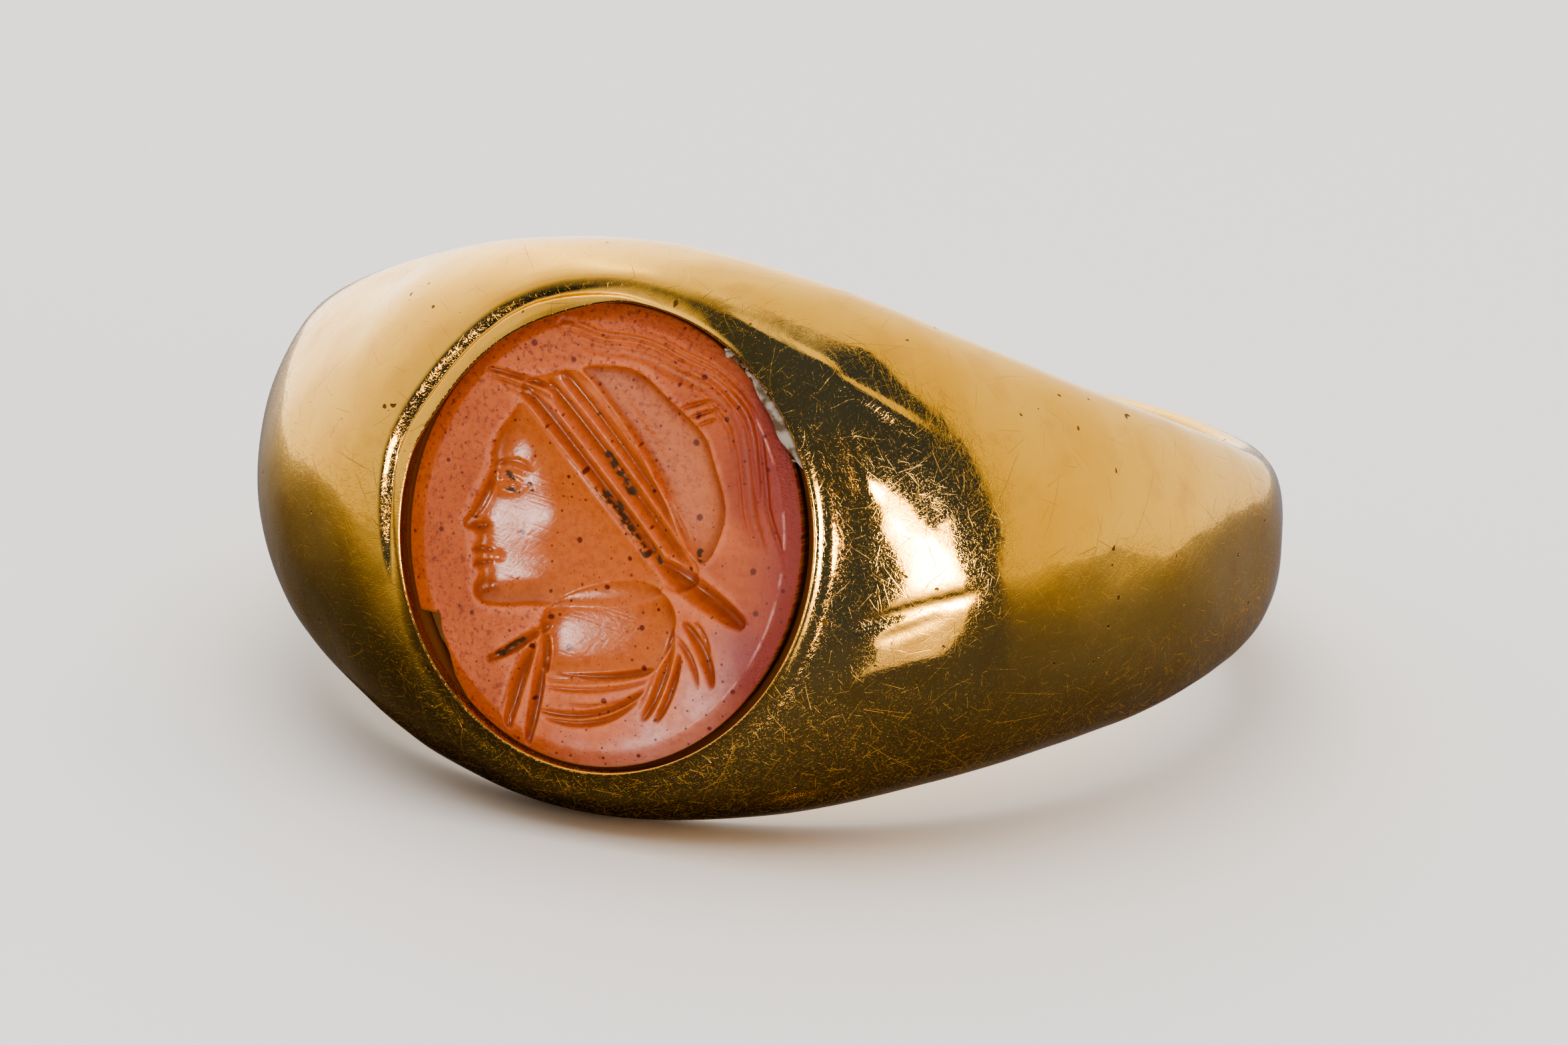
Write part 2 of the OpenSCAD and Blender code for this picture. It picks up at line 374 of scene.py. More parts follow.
def hand_made(angle, turn, points):
    """Moves points of the skin in or out, as the hand-worked surface has it."""
    height = np.zeros(len(points))
    for at, over, length, width, rise in DENTS:
        centre = skin(at, over)
        along = skin(at + 0.5, over) - skin(at - 0.5, over)
        along /= np.linalg.norm(along)
        gap = points - centre
        run = gap @ along
        side = np.sqrt(np.maximum((gap**2).sum(-1) - run**2, 0))
        height += rise * np.exp(-((run / length) ** 2) - (side / width) ** 2)
    for angle_1, turn_1, angle_2, turn_2, width, rise in RIDGES:
        start, end = skin(angle_1, turn_1), skin(angle_2, turn_2)
        middle = skin((angle_1 + angle_2) / 2, (turn_1 + turn_2) / 2)
        length = np.linalg.norm(end - start)
        t = np.clip((points - start) @ (end - start) / length**2, -0.2, 1.2)[:, None]
        spine = start * (1 - t) * (1 - 2 * t) + middle * 4 * t * (1 - t) + end * t * (2 * t - 1)
        away = np.linalg.norm(points - spine, axis=-1)
        ends = smooth_step(t[:, 0], -0.15, 0.2) * smooth_step(-t[:, 0], -1.15, -0.8)
        height += rise * ends * np.exp(-((away / width) ** 2))
    for size, rise, seed in WAVES:
        height += rise * waviness(points, size, seed)
    at_rim = smooth_step(90 - np.abs(turn), 0, 25)
    at_lip = smooth_step(past_oval(points[:, 0], points[:, 2]), 0.2, 1.0)
    height *= at_rim * np.where(points[:, 1] < 0, at_lip, 1)
    return in_box(points + height[:, None] * skin_normal(angle, turn))


BOX_SOFTNESS = 0.12


def in_box(points):
    """Points as worn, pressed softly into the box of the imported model."""
    place = laid(points) / MM
    low, high = (np.array(corner) / MM for corner in CAD_BOX)
    place = soft_min(place, high, BOX_SOFTNESS)
    place[:, :2] = soft_max(place[:, :2], low[:2], BOX_SOFTNESS)
    return (place * MM - WORN_ORIGIN) / MM @ WORN_AXES.T


PATCH_ANGLE = 50.0
PATCH_COLUMNS = 192
SHOULDER_ROWS = 72
HOOP_COLUMNS = 288
LIP_RINGS = [
    # distances outwards from the opening's edge
    0, 0.015, 0.03, 0.05, 0.07, 0.09, 0.12, 0.15, 0.18, 0.21, 0.24, 0.27, 0.30,
    0.33, 0.36, 0.40, 0.44, 0.48, 0.52, 0.56, 0.61, 0.66, 0.72, 0.80, 0.90, 1.00,
]
PATCH_RINGS = 66
HOLE_ROWS = 14
RIM_ROWS = 7


def ring_mesh():
    blocks = []
    turns = np.linspace(-90, 90, SHOULDER_ROWS + 1)
    patch_angles = np.linspace(PATCH_ANGLE, -PATCH_ANGLE, PATCH_COLUMNS + 1)

    # The border of the patch round the stone, counterclockwise as the bezel is seen
    border = np.concatenate(
        [
            np.stack([0 * turns[:-1] + PATCH_ANGLE, turns[:-1]], -1),
            np.stack([patch_angles[:-1], 0 * patch_angles[:-1] + 90], -1),
            np.stack([0 * turns[:-1] - PATCH_ANGLE, -turns[:-1]], -1),
            np.stack([-patch_angles[:-1], 0 * patch_angles[:-1] - 90], -1),
        ]
    )
    seen = skin(border[:, 0], border[:, 1])
    theta = np.degrees(np.arctan2(seen[:, 2] / OPENING[1], seen[:, 0] / OPENING[0]))
    lean = lean_over(np.radians(theta))[:, None]
    rings = [np.stack(skin_place(oval(theta, grow - lean)), -1) for grow in LIP_RINGS]
    share = np.linspace(0, 1, PATCH_RINGS + 1)[1:]
    rings += [rings[len(LIP_RINGS) - 1] * (1 - t) + border * t for t in share]
    places = np.concatenate(rings)
    patch = skin(places[:, 0], places[:, 1])
    patch = hand_made(places[:, 0], places[:, 1], patch)
    patch[:, 1] -= lip_relief(patch[:, 0], patch[:, 2])
    blocks.append((patch, grid_faces(len(rings), len(border), closed=True)))
    lip = patch[: len(border)]

    # The stone's cell below the lip
    floor = FACE_REACH + LIP_RISE - CELL_DEPTH
    drops = [0.02, 0.05, 0.3, 0.8, 1.2, None]
    wall = [lip]
    for number, drop in enumerate(drops):
        level = lip.copy()
        level[:, 1] = -floor if drop is None else lip[:, 1] + drop
        if number > 1:
            level[:, [0, 2]] = oval(theta)
        wall.append(level)
    for shrink in (0.75, 0.5, 0.25):
        level = wall[len(drops)].copy()
        level[:, [0, 2]] *= shrink
        wall.append(level)
    cell = np.concatenate(wall + [[[0, -floor, 0]]])
    blocks.append((cell, capped_faces(len(wall), len(border))))

    # The rest of the hoop, round the back
    hoop_angles = np.linspace(PATCH_ANGLE, 360 - PATCH_ANGLE, HOOP_COLUMNS + 1)
    angle, turn = (g.ravel() for g in np.meshgrid(hoop_angles, turns, indexing="ij"))
    hoop = hand_made(angle, turn, skin(angle, turn))
    blocks.append((hoop, grid_faces(len(hoop_angles), len(turns))))

    # The soft rims and the finger hole
    around_all = np.concatenate([patch_angles[::-1], hoop_angles[1:-1]])
    half = column(around_all, HALF_WIDTH)
    arc = np.radians(np.linspace(0, 90, RIM_ROWS))
    rim = [(EDGE_R - RIM_ROUND * math.sin(a), half - RIM_ROUND * (1 - math.cos(a))) for a in arc]
    shares = np.linspace(1, -1, HOLE_ROWS)[1:-1]
    hole = [(HOLE_R, (half - RIM_ROUND) * share) for share in shares]
    rows = rim + hole + [(radius, -height) for radius, height in rim[::-1]]
    inside = np.concatenate([around(0 * half + r, around_all, h) for r, h in rows])
    blocks.append((inside, grid_faces(len(rows), len(around_all), closed=True)))

    points, faces, start = [], [], 0
    for block, block_faces in blocks:
        points.append(block)
        faces += [tuple(start + i for i in face) for face in block_faces]
        start += len(block)
    return np.concatenate(points), faces


# The engraved stone

# Size across and along the finger, and the half size against which the back narrows
STONE = (9.0, 10.1)
STONE_GIRTH = 4.8
STONE_BELOW_LIP = 0.05
STONE_OFF_FLOOR = 0.03
STONE_FACE = FACE_REACH + LIP_RISE - STONE_BELOW_LIP
STONE_BACK = FACE_REACH + LIP_RISE - CELL_DEPTH + STONE_OFF_FLOOR
BEVEL = (0.36, 0.12)
DOMED = 0.15
STONE_GRID = 290
STONE_SHIFT = -0.10
CHIP_DEPTH = 0.45

# Outlines that are sunk into the face: places across and along, joined by a smooth curve
BOWL = [
    (-0.90, 3.50), (-0.37, 3.70), (0.41, 3.66), (1.24, 3.12), (2.01, 2.56), (2.33, 2.00),
    (2.74, 0.85), (2.38, -0.26), (1.72, 0.26), (1.16, 1.28), (0.50, 2.14), (-0.24, 2.84),
]
HEAD = [
    (-2.14, 2.62), (-2.48, 2.22), (-2.68, 1.82), (-2.77, 1.42), (-2.74, 1.10), (-2.90, 0.62),
    (-3.10, 0.12), (-3.24, -0.16), (-3.18, -0.31), (-2.96, -0.38), (-2.90, -0.50), (-2.95, -0.66),
    (-2.98, -0.77), (-2.85, -0.87), (-2.92, -0.97), (-2.90, -1.09), (-2.77, -1.19), (-2.78, -1.36),
    (-2.85, -1.54), (-2.79, -1.76), (-2.56, -1.90), (-2.20, -1.90), (-1.66, -1.80), (-1.10, -1.72),
    (-0.40, -1.62), (0.50, -1.50), (1.30, -1.20), (1.52, -0.76), (0.94, -0.22), (0.10, 0.56),
    (-0.80, 1.38), (-1.60, 2.12),
]
NECK = [
    (-1.22, -2.06), (-0.90, -1.50), (0.00, -1.06), (0.90, -0.86), (1.60, -1.06), (1.90, -1.62),
    (1.66, -2.44), (1.36, -2.86), (0.40, -3.14), (-0.60, -3.20), (-1.08, -3.12), (-1.14, -2.56),
]
BRIM = [
    (-2.30, 2.92), (-1.62, 3.34), (-0.96, 3.46), (-0.20, 2.86), (0.60, 1.98), (1.20, 1.12),
    (1.76, 0.20), (2.30, -0.40), (1.90, -0.98), (1.30, -0.72), (0.40, 0.24), (-0.60, 1.16),
    (-1.60, 2.10),
]
SUNK = [
    # outline, depth, distance over which its wall rounds, softness where it meets others
    (BRIM, 0.16, 0.25, 0.05),
    (HEAD, 0.50, 0.95, 0.05),
    (NECK, 0.50, 0.80, 0.45),
    (BOWL, 0.34, 0.42, 0.05),
]
# Soft hollows in the sunk figure, and swellings where the depth is negative
HOLLOWS = [
    # across, along, half length, half width, direction, depth
    (-1.30, 0.20, 0.80, 0.62, 75, 0.10),
    (-1.98, 1.70, 0.55, 0.50, 60, 0.05),
    (-1.55, -1.25, 0.80, 0.35, 12, 0.06),
    (-2.36, 0.80, 0.36, 0.24, 10, -0.10),
    (-2.32, 0.77, 0.19, 0.13, 5, 0.09),
    (-2.56, -1.56, 0.27, 0.24, 0, 0.10),
    (-2.86, -0.24, 0.16, 0.11, 10, 0.08),
    (-2.46, -0.86, 0.14, 0.12, 0, -0.04),
    (0.10, 2.60, 1.20, 0.12, -48, 0.03),
    (0.55, 2.50, 1.20, 0.10, -48, -0.025),
    (0.30, 0.40, 0.90, 0.30, -45, 0.05),
]
# Single cuts of the engraver's wheel
CUTS = [
    # across and along at both ends, sideways bend, width, depth
    # nose, nostril, eyelids, brow and lips
    (-2.70, 1.06, -3.08, -0.08, 0.03, 0.26, 0.10),
    (-3.08, -0.22, -2.78, -0.22, -0.02, 0.18, 0.08),
    (-2.64, 0.84, -2.06, 0.80, 0.10, 0.08, 0.06),
    (-2.56, 0.65, -2.12, 0.72, -0.05, 0.07, 0.05),
    (-2.72, 1.14, -1.92, 1.12, 0.14, 0.18, 0.07),
    (-2.96, -0.74, -2.56, -0.78, 0.03, 0.14, 0.09),
    (-2.88, -1.02, -2.56, -0.96, -0.03, 0.15, 0.09),
    # peak of the helmet
    (-3.09, 3.22, -1.46, 2.98, 0.02, 0.22, 0.15),
    (-2.98, 3.07, -1.36, 2.72, 0.02, 0.18, 0.12),
    (-2.70, 2.94, -1.70, 2.62, 0.00, 0.14, 0.08),
    # bands of the helmet's brim, and the leaf in which they end
    (-2.20, 2.94, 1.74, -0.76, -0.02, 0.56, 0.34),
    (-1.72, 3.16, 2.04, -0.50, 0.02, 0.60, 0.34),
    (-1.36, 3.40, 1.90, 0.10, 0.05, 0.52, 0.24),
    (1.16, -0.30, 3.44, -1.48, 0.02, 0.62, 0.40),
    # tassel
    (1.40, 2.96, 2.22, 3.32, 0.03, 0.15, 0.09),
    (1.60, 2.80, 2.34, 3.14, 0.02, 0.14, 0.09),
    (1.80, 2.64, 2.30, 2.92, 0.02, 0.12, 0.07),
    # gathered dress on the near shoulder
    (-1.04, -2.10, -2.36, -3.10, 0.05, 0.30, 0.20),
    (-1.28, -2.50, -1.72, -4.50, -0.08, 0.40, 0.26),
    (-1.10, -2.34, -1.24, -4.78, 0.06, 0.34, 0.26),
    (-1.60, -2.86, -1.90, -4.20, 0.00, 0.14, 0.07),
    # folds across the breast
    (-1.12, -3.26, 1.46, -2.74, -0.14, 0.30, 0.22),
    (-0.90, -3.46, 1.42, -2.96, -0.12, 0.22, 0.14),
    (-1.10, -3.98, 1.36, -3.14, -0.34, 0.28, 0.20),
    (-0.86, -4.14, 1.22, -3.42, -0.28, 0.26, 0.18),
    (-0.40, -3.76, 1.26, -3.26, -0.14, 0.14, 0.08),
    # gathered dress on the far shoulder
    (1.82, -1.76, 1.36, -3.88, 0.10, 0.38, 0.26),
    (2.04, -2.26, 1.66, -3.86, 0.06, 0.30, 0.22),
    (1.60, -2.40, 1.26, -3.62, 0.04, 0.16, 0.10),
    (2.08, -1.56, 2.86, -2.94, 0.12, 0.34, 0.22),
    (2.32, -1.52, 2.70, -2.50, 0.10, 0.22, 0.15),
    (1.92, -1.90, 2.54, -2.98, 0.10, 0.20, 0.13),
]

# The crest: an arc over the helmet, and the strands that run along it
CREST_ARC = [
    (-1.37, 4.12), (-0.39, 4.34), (0.54, 4.34), (1.42, 4.07), (2.14, 3.84), (2.81, 3.36),
    (3.18, 2.83), (3.44, 1.85), (3.59, 1.15), (3.84, -0.20),
]
CREST_STRANDS = [
    # distance outwards from the arc, share of the arc at both ends, width, depth
    (0.00, 0.00, 0.52, 0.20, 0.060),
    (-0.17, 0.04, 0.40, 0.13, 0.045),
    (-0.36, 0.10, 0.58, 0.34, 0.055),
    (0.14, 0.18, 0.62, 0.14, 0.040),
    (-0.10, 0.40, 0.80, 0.24, 0.060),
    (-0.58, 0.42, 0.72, 0.16, 0.035),
    (0.08, 0.58, 0.98, 0.16, 0.045),
    (-0.30, 0.55, 0.93, 0.30, 0.045),
    (-0.52, 0.66, 0.90, 0.12, 0.030),
]

# Brown residue that is left in the cuts: across and along at both ends, half width
RESIDUE = [
    (-0.22, 1.74, 0.45, 0.99, 0.11),
    (-0.32, 0.94, 0.23, 0.60, 0.12),
    (0.24, 0.48, 0.97, -0.27, 0.11),
    (0.90, 0.10, 1.30, -0.40, 0.06),
    (2.20, -0.02, 2.28, -0.16, 0.10),
    (-2.44, 0.98, -2.30, 0.90, 0.09),
    (-2.40, 0.66, -2.10, 0.62, 0.09),
    (-1.94, 0.80, -1.88, 0.70, 0.08),
    (-1.60, -2.52, -2.20, -2.98, 0.08),
]

# Outline of the chip at the lower left, which runs past the stone's edge
CHIP = [
    (-5.2, -2.14), (-3.52, -2.22), (-3.40, -2.67), (-3.20, -3.08), (-3.03, -3.53), (-2.53, -4.22),
    (-3.2, -5.2), (-5.2, -5.2),
]


def smooth_outline(corners, pieces=6):
    """A closed smooth curve through the corners."""
    p = np.array(corners)
    before, after, last = np.roll(p, 1, 0), np.roll(p, -1, 0), np.roll(p, -2, 0)
    curve = []
    for t in np.arange(pieces) / pieces:
        bend = (2 * before - 5 * p + 4 * after - last) + t * (3 * (p - after) + last - before)
        curve.append(p + t / 2 * ((after - before) + t * bend))
    return np.stack(curve, 1).reshape(-1, 2)


def depth_inside(u, v, outline):
    """Distance from the outline, positive inside it."""
    best = np.full(u.shape, 1e9)
    inside = np.zeros(u.shape, bool)
    for (ax, ay), (bx, by) in zip(outline, np.roll(outline, -1, 0)):
        dx, dy = bx - ax, by - ay
        t = np.clip(((u - ax) * dx + (v - ay) * dy) / (dx * dx + dy * dy + 1e-12), 0, 1)
        best = np.minimum(best, (u - ax - t * dx) ** 2 + (v - ay - t * dy) ** 2)
        crosses = (ay > v) != (by > v)
        inside ^= crosses & (u < dx * (v - ay) / (dy if by != ay else 1e-12) + ax)
    return np.sqrt(best) * np.where(inside, 1, -1)


def cut_shape(u, v, cut):
    """Share of its full depth that a wheel cut has at each place."""
    u1, v1, u2, v2, bend, width, _ = cut
    dx, dy = u2 - u1, v2 - v1
    run = math.hypot(dx, dy)
    t = ((u - u1) * dx + (v - v1) * dy) / run**2
    side = ((v - v1) * dx - (u - u1) * dy) / run
    belly = np.clip(4 * t * (1 - t), 0, 1)
    side = side - bend * belly
    taper = np.sqrt(belly)
    half = width / 2 * (0.3 + 0.7 * taper)
    across = np.clip(np.abs(side) / half, 0, 1)
    return taper * (1 - across**1.6)


def crest(u, v):
    """Depth of the crest's strands at each place."""
    arc = smooth_outline(CREST_ARC)[:-6]
    steps = np.linalg.norm(np.diff(arc, axis=0), axis=1)
    reached = np.concatenate([[0], np.cumsum(steps)]) / steps.sum()
    nearest = np.full(u.shape, 1e9)
    share = np.zeros(u.shape)
    outwards = np.zeros(u.shape)
    for i, step in enumerate(steps):
        (ax, ay), (bx, by) = arc[i], arc[i + 1]
        dx, dy = (bx - ax) / step, (by - ay) / step
        run = np.clip((u - ax) * dx + (v - ay) * dy, 0, step)
        gap = np.hypot(u - ax - run * dx, v - ay - run * dy)
        closer = gap < nearest
        nearest = np.where(closer, gap, nearest)
        share = np.where(closer, reached[i] + run / steps.sum(), share)
        side = (v - ay) * dx - (u - ax) * dy
        outwards = np.where(closer, np.sign(side) * gap, outwards)
    depth = np.zeros(u.shape)
    for offset, start, end, width, deep in CREST_STRANDS:
        t = (share - start) / (end - start)
        taper = np.sqrt(np.clip(4 * t * (1 - t), 0, 1))
        across = np.clip(np.abs(outwards - offset) / (width / 2 * (0.4 + 0.6 * taper)), 0, 1)
        depth = np.maximum(depth, deep * taper * (1 - across**2))
    return depth


# Grid on which outlines are blown up: its step and half size, how much coarser the first passes
# are and how many rounds each has, and the height at which a sunk shape has its full depth
INFLATE_STEP = 0.05
INFLATE_HALF = (4.8, 5.4)
INFLATE_GRIDS = (8, 4, 2, 1)
INFLATE_ROUNDS = 160
FULL_HEIGHT = 1.6


def inflated(outline):
    """Height of a soap skin blown up over an outline, as a function of place; a round bowl."""
    nu, nv = (round(2 * h / INFLATE_STEP) + 1 for h in INFLATE_HALF)
    sides = (np.linspace(-h, h, n) for h, n in zip(INFLATE_HALF, (nu, nv)))
    gu, gv = np.meshgrid(*sides, indexing="ij")
    share = np.clip(0.5 + depth_inside(gu, gv, outline) / INFLATE_STEP, 0, 1)
    skin_height = np.zeros((nu, nv))
    for coarse in INFLATE_GRIDS:
        cut = share[::coarse, ::coarse]
        h = skin_height[::coarse, ::coarse].copy()
        push = (coarse * INFLATE_STEP) ** 2
        for _ in range(INFLATE_ROUNDS):
            beside = np.roll(h, 1, 0) + np.roll(h, -1, 0) + np.roll(h, 1, 1) + np.roll(h, -1, 1)
            h = (beside + push) / 4 * cut
        iu = np.clip(np.arange(nu) / coarse, 0, h.shape[0] - 1.001)
        iv = np.clip(np.arange(nv) / coarse, 0, h.shape[1] - 1.001)
        skin_height = sample(h, *np.meshgrid(iu, iv, indexing="ij"))
    round_height = np.sqrt(2 * np.maximum(skin_height, 0))

    def at(u, v):
        x, y = ((place + half) / INFLATE_STEP for place, half in zip((u, v), INFLATE_HALF))
        return sample(round_height, x, y)

    return at


def sample(grid, x, y):
    """Values between the points of a grid."""
    x = np.clip(x, 0, grid.shape[0] - 1.001)
    y = np.clip(y, 0, grid.shape[1] - 1.001)
    i, j = x.astype(int), y.astype(int)
    a, b = x - i, y - j
    low = grid[i, j] * (1 - a) + grid[i + 1, j] * a
    high = grid[i, j + 1] * (1 - a) + grid[i + 1, j + 1] * a
    return low * (1 - b) + high * b


def engraving(u, v):
    """Depth of the engraving at each place."""
    sunk = np.zeros(u.shape)
    for corners, depth, reach, rim in SUNK:
        outline = smooth_outline(corners)
        height = inflated(outline)(u, v)
        bowl = depth * np.tanh(height / reach) / np.tanh(FULL_HEIGHT / reach)
        bowl = bowl * smooth_step(depth_inside(u, v, outline), -0.01, 0.05)
        merged = smooth_step(np.minimum(sunk, bowl), 0.0, 0.12)
        higher = np.maximum(sunk, bowl)
        sunk = higher + merged * (soft_max(sunk, bowl, rim) - higher)
    in_figure = smooth_step(sunk, 0.0, 0.08)
    for across, along, length, width, direction, depth in HOLLOWS:
        c, s = math.cos(math.radians(direction)), math.sin(math.radians(direction))
        du, dv = u - across, v - along
        k = ((du * c + dv * s) / length) ** 2 + ((dv * c - du * s) / width) ** 2
        sunk = sunk + in_figure * depth * np.exp(-1.2 * k)
    cuts = np.zeros(u.shape)
    for cut in CUTS:
        cuts = np.maximum(cuts, cut[-1] * cut_shape(u, v, cut))
    cuts = np.maximum(cuts, crest(u, v))
    return sunk + cuts * (1 - 0.5 * smooth_step(sunk, 0.1, 0.4))


def near_line(u, v, line):
    """1 on a line, falling to 0 at its half width."""
    u1, v1, u2, v2, half = line
    dx, dy = u2 - u1, v2 - v1
    t = np.clip(((u - u1) * dx + (v - v1) * dy) / (dx * dx + dy * dy), 0, 1)
    return np.clip(1 - np.hypot(u - u1 - t * dx, v - v1 - t * dy) / half, 0, 1)


def blurred(field, cells):
    """A field smoothed over a number of cells of its grid."""
    reach = np.arange(-3 * cells, 3 * cells + 1)
    weight = np.exp(-((reach / cells) ** 2) / 2)
    weight /= weight.sum()
    for axis in (0, 1):
        margin = [(3 * cells, 3 * cells) if a == axis else (0, 0) for a in (0, 1)]
        padded = np.pad(field, margin, mode="edge")
        field = np.apply_along_axis(np.convolve, axis, padded, weight, mode="valid")
    return field


def stone_mesh():
    side = np.linspace(-1, 1, STONE_GRID + 1)
    a, b = np.meshgrid(side, side, indexing="ij")
    u = STONE[0] / 2 * a * np.sqrt(1 - b * b / 2)
    v = STONE[1] / 2 * b * np.sqrt(1 - a * a / 2)
    k = np.sqrt((u / (STONE[0] / 2)) ** 2 + (v / (STONE[1] / 2)) ** 2)
    from_edge = np.where(k < 0.5, 9, -past_oval(u, v, STONE))
    carved = engraving(u, v)
    cut = smooth_step(carved, 0.02, 0.10)
    in_bowl = smooth_step(depth_inside(u, v, smooth_outline(BOWL)), -0.02, 0.08)
    polished = cut * (1 - 0.7 * in_bowl)
    hollow = carved - blurred(carved, 5)
    bevel = BEVEL[1] * np.clip(1 - from_edge / BEVEL[0], 0, 1)
    chip = depth_inside(u, v, np.array(CHIP))
    broken = CHIP_DEPTH * smooth_step(chip, 0.0, 0.10)
    depth = soft_max(bevel + carved + DOMED * k**2, broken, 0.03)
    face = np.stack([u, -(STONE_FACE - depth), v], -1)
    points = face.reshape(-1, 3)
    n = STONE_GRID + 1
    faces = grid_faces(n, n)

    # Round the girdle to the flat back
    index = np.arange(n * n).reshape(n, n)
    border = np.concatenate([index[:-1, 0], index[-1, :-1], index[:0:-1, -1], index[0, :0:-1]])
    edge = points[border]
    levels = [edge]
    for shrink, reach in ((0.0, STONE_BACK + 0.5), (0.12, STONE_BACK + 0.2), (0.45, STONE_BACK)):
        level = edge.copy()
        level[:, 1] = -np.minimum(reach, -edge[:, 1] - 0.02)
        level[:, [0, 2]] *= 1 - shrink / STONE_GIRTH
        levels.append(level)
    for shrink in (0.6, 0.3):
        level = levels[3].copy()
        level[:, [0, 2]] *= shrink
        levels.append(level)
    body = np.concatenate(levels + [[[0, -STONE_BACK, 0]]])
    faces += capped_faces(len(levels), len(border), start=len(points))

    # painted highlight: a thin light line along the inner edge of the bevel on the right side
    bevel_glint_line = np.exp(-(((from_edge - BEVEL[0]) / 0.022) ** 2)) * smooth_step(u, 1.5, 3.5)
    residue = np.zeros(u.shape)
    for line in RESIDUE:
        residue = np.maximum(residue, near_line(u, v, line))
    on_face = {
        "cut": cut,
        "polished": polished,
        "residue": residue,
        "broken": smooth_step(chip, -0.02, 0.05),
        # mask of painted shade in the hollows of the engraving
        "crease_shade": smooth_step(hollow, 0.01, 0.06),
        # mask of painted highlight on the ridges of the engraving
        "ridge_highlight": smooth_step(-hollow, 0.01, 0.05),
        "glint": bevel_glint_line,
        "side": np.zeros(u.shape),
        "edge": smooth_step(-from_edge, -0.5, -0.2),
    }
    layers = {}
    for name, values in on_face.items():
        layers[name] = np.concatenate([values.ravel(), np.full(len(body), float(name == "side"))])
    whole = np.concatenate([points, body])
    whole[:, 0] += STONE_SHIFT
    return whole, faces, layers


# Tools for node trees


def color(red, green, blue):
    return (red, green, blue, 1.0)


class Nodes:
    """Adds nodes to a tree; an input is given a value or another node's output."""

    def __init__(self, tree):
        self.tree = tree

    def feed(self, node, inputs):
        for name, value in inputs.items():
            if isinstance(value, bpy.types.NodeSocket):
                self.tree.links.new(value, node.inputs[name])
            else:
                node.inputs[name].default_value = value
        return node

    def add(self, kind, inputs=(), **settings):
        node = self.tree.nodes.new(kind)
        for name, value in settings.items():
            setattr(node, name, value)
        return self.feed(node, dict(inputs))

    def math(self, operation, *values):
        return self.add("ShaderNodeMath", dict(enumerate(values)), operation=operation).outputs[0]

    def vector(self, operation, *values, **named):
        inputs = dict(enumerate(values)) | named
        node = self.add("ShaderNodeVectorMath", inputs, operation=operation)
        return node.outputs["Value" if operation in ("DOT_PRODUCT", "LENGTH") else "Vector"]

    def even(self, value):
        """A vector with the same value on each axis."""
        return self.add("ShaderNodeCombineXYZ", {0: value, 1: value, 2: value}).outputs[0]

    def spread(self, value, low, high, to_low=0.0, to_high=1.0):
        inputs = {"Value": value, "From Min": low, "From Max": high, "To Min": to_low, "To Max": to_high}
        return self.add("ShaderNodeMapRange", inputs, interpolation_type="SMOOTHSTEP").outputs["Result"]

    def mix(self, share, first, second):
        inputs = {0: share, 6: first, 7: second}
        return self.add("ShaderNodeMix", inputs, data_type="RGBA").outputs[2]

    def paint(self, tone, mask, share, *rgb):
        """A tone covered by a colour where the mask is, at most by the given share."""
        return self.mix(self.math("MULTIPLY", mask, share), tone, color(*rgb))

    def noise(self, vector, scale, detail=2.0, roughness=0.5):
        inputs = {"Vector": vector, "Scale": scale, "Detail": detail, "Roughness": roughness}
        return self.add("ShaderNodeTexNoise", inputs).outputs["Fac"]

    def bump(self, height, distance=MM):
        inputs = {"Height": height, "Distance": distance, "Strength": 1.0}
        return self.add("ShaderNodeBump", inputs).outputs["Normal"]

    def layer(self, name):
        return self.add("ShaderNodeAttribute", attribute_name=name).outputs["Fac"]

    def group(self, tree, **inputs):
        return self.add("ShaderNodeGroup", inputs, node_tree=tree).outputs[0]

    def streaks(self, place, direction, **inputs):
        turns = tuple(math.radians(t) for t in direction)
        return self.group(BRUSHED, Vector=place, Direction=turns, **inputs)


def shader_group(name, vectors, values):
    """An empty node group with vector inputs, then number inputs, and what they give."""
    tree = bpy.data.node_groups.new(name, "ShaderNodeTree")
    for label in vectors:
        tree.interface.new_socket(label, in_out="INPUT", socket_type="NodeSocketVector")
    for label, value in values.items():
        socket = tree.interface.new_socket(label, in_out="INPUT", socket_type="NodeSocketFloat")
        socket.default_value = value
    nodes = Nodes(tree)
    return nodes, nodes.add("NodeGroupInput").outputs


def finished(nodes, output, value):
    """The tree of a node group, once a value goes to its one output."""
    nodes.tree.interface.new_socket(output, in_out="OUTPUT", socket_type="NodeSocketFloat")
    nodes.add("NodeGroupOutput", {output: value})
    return nodes.tree


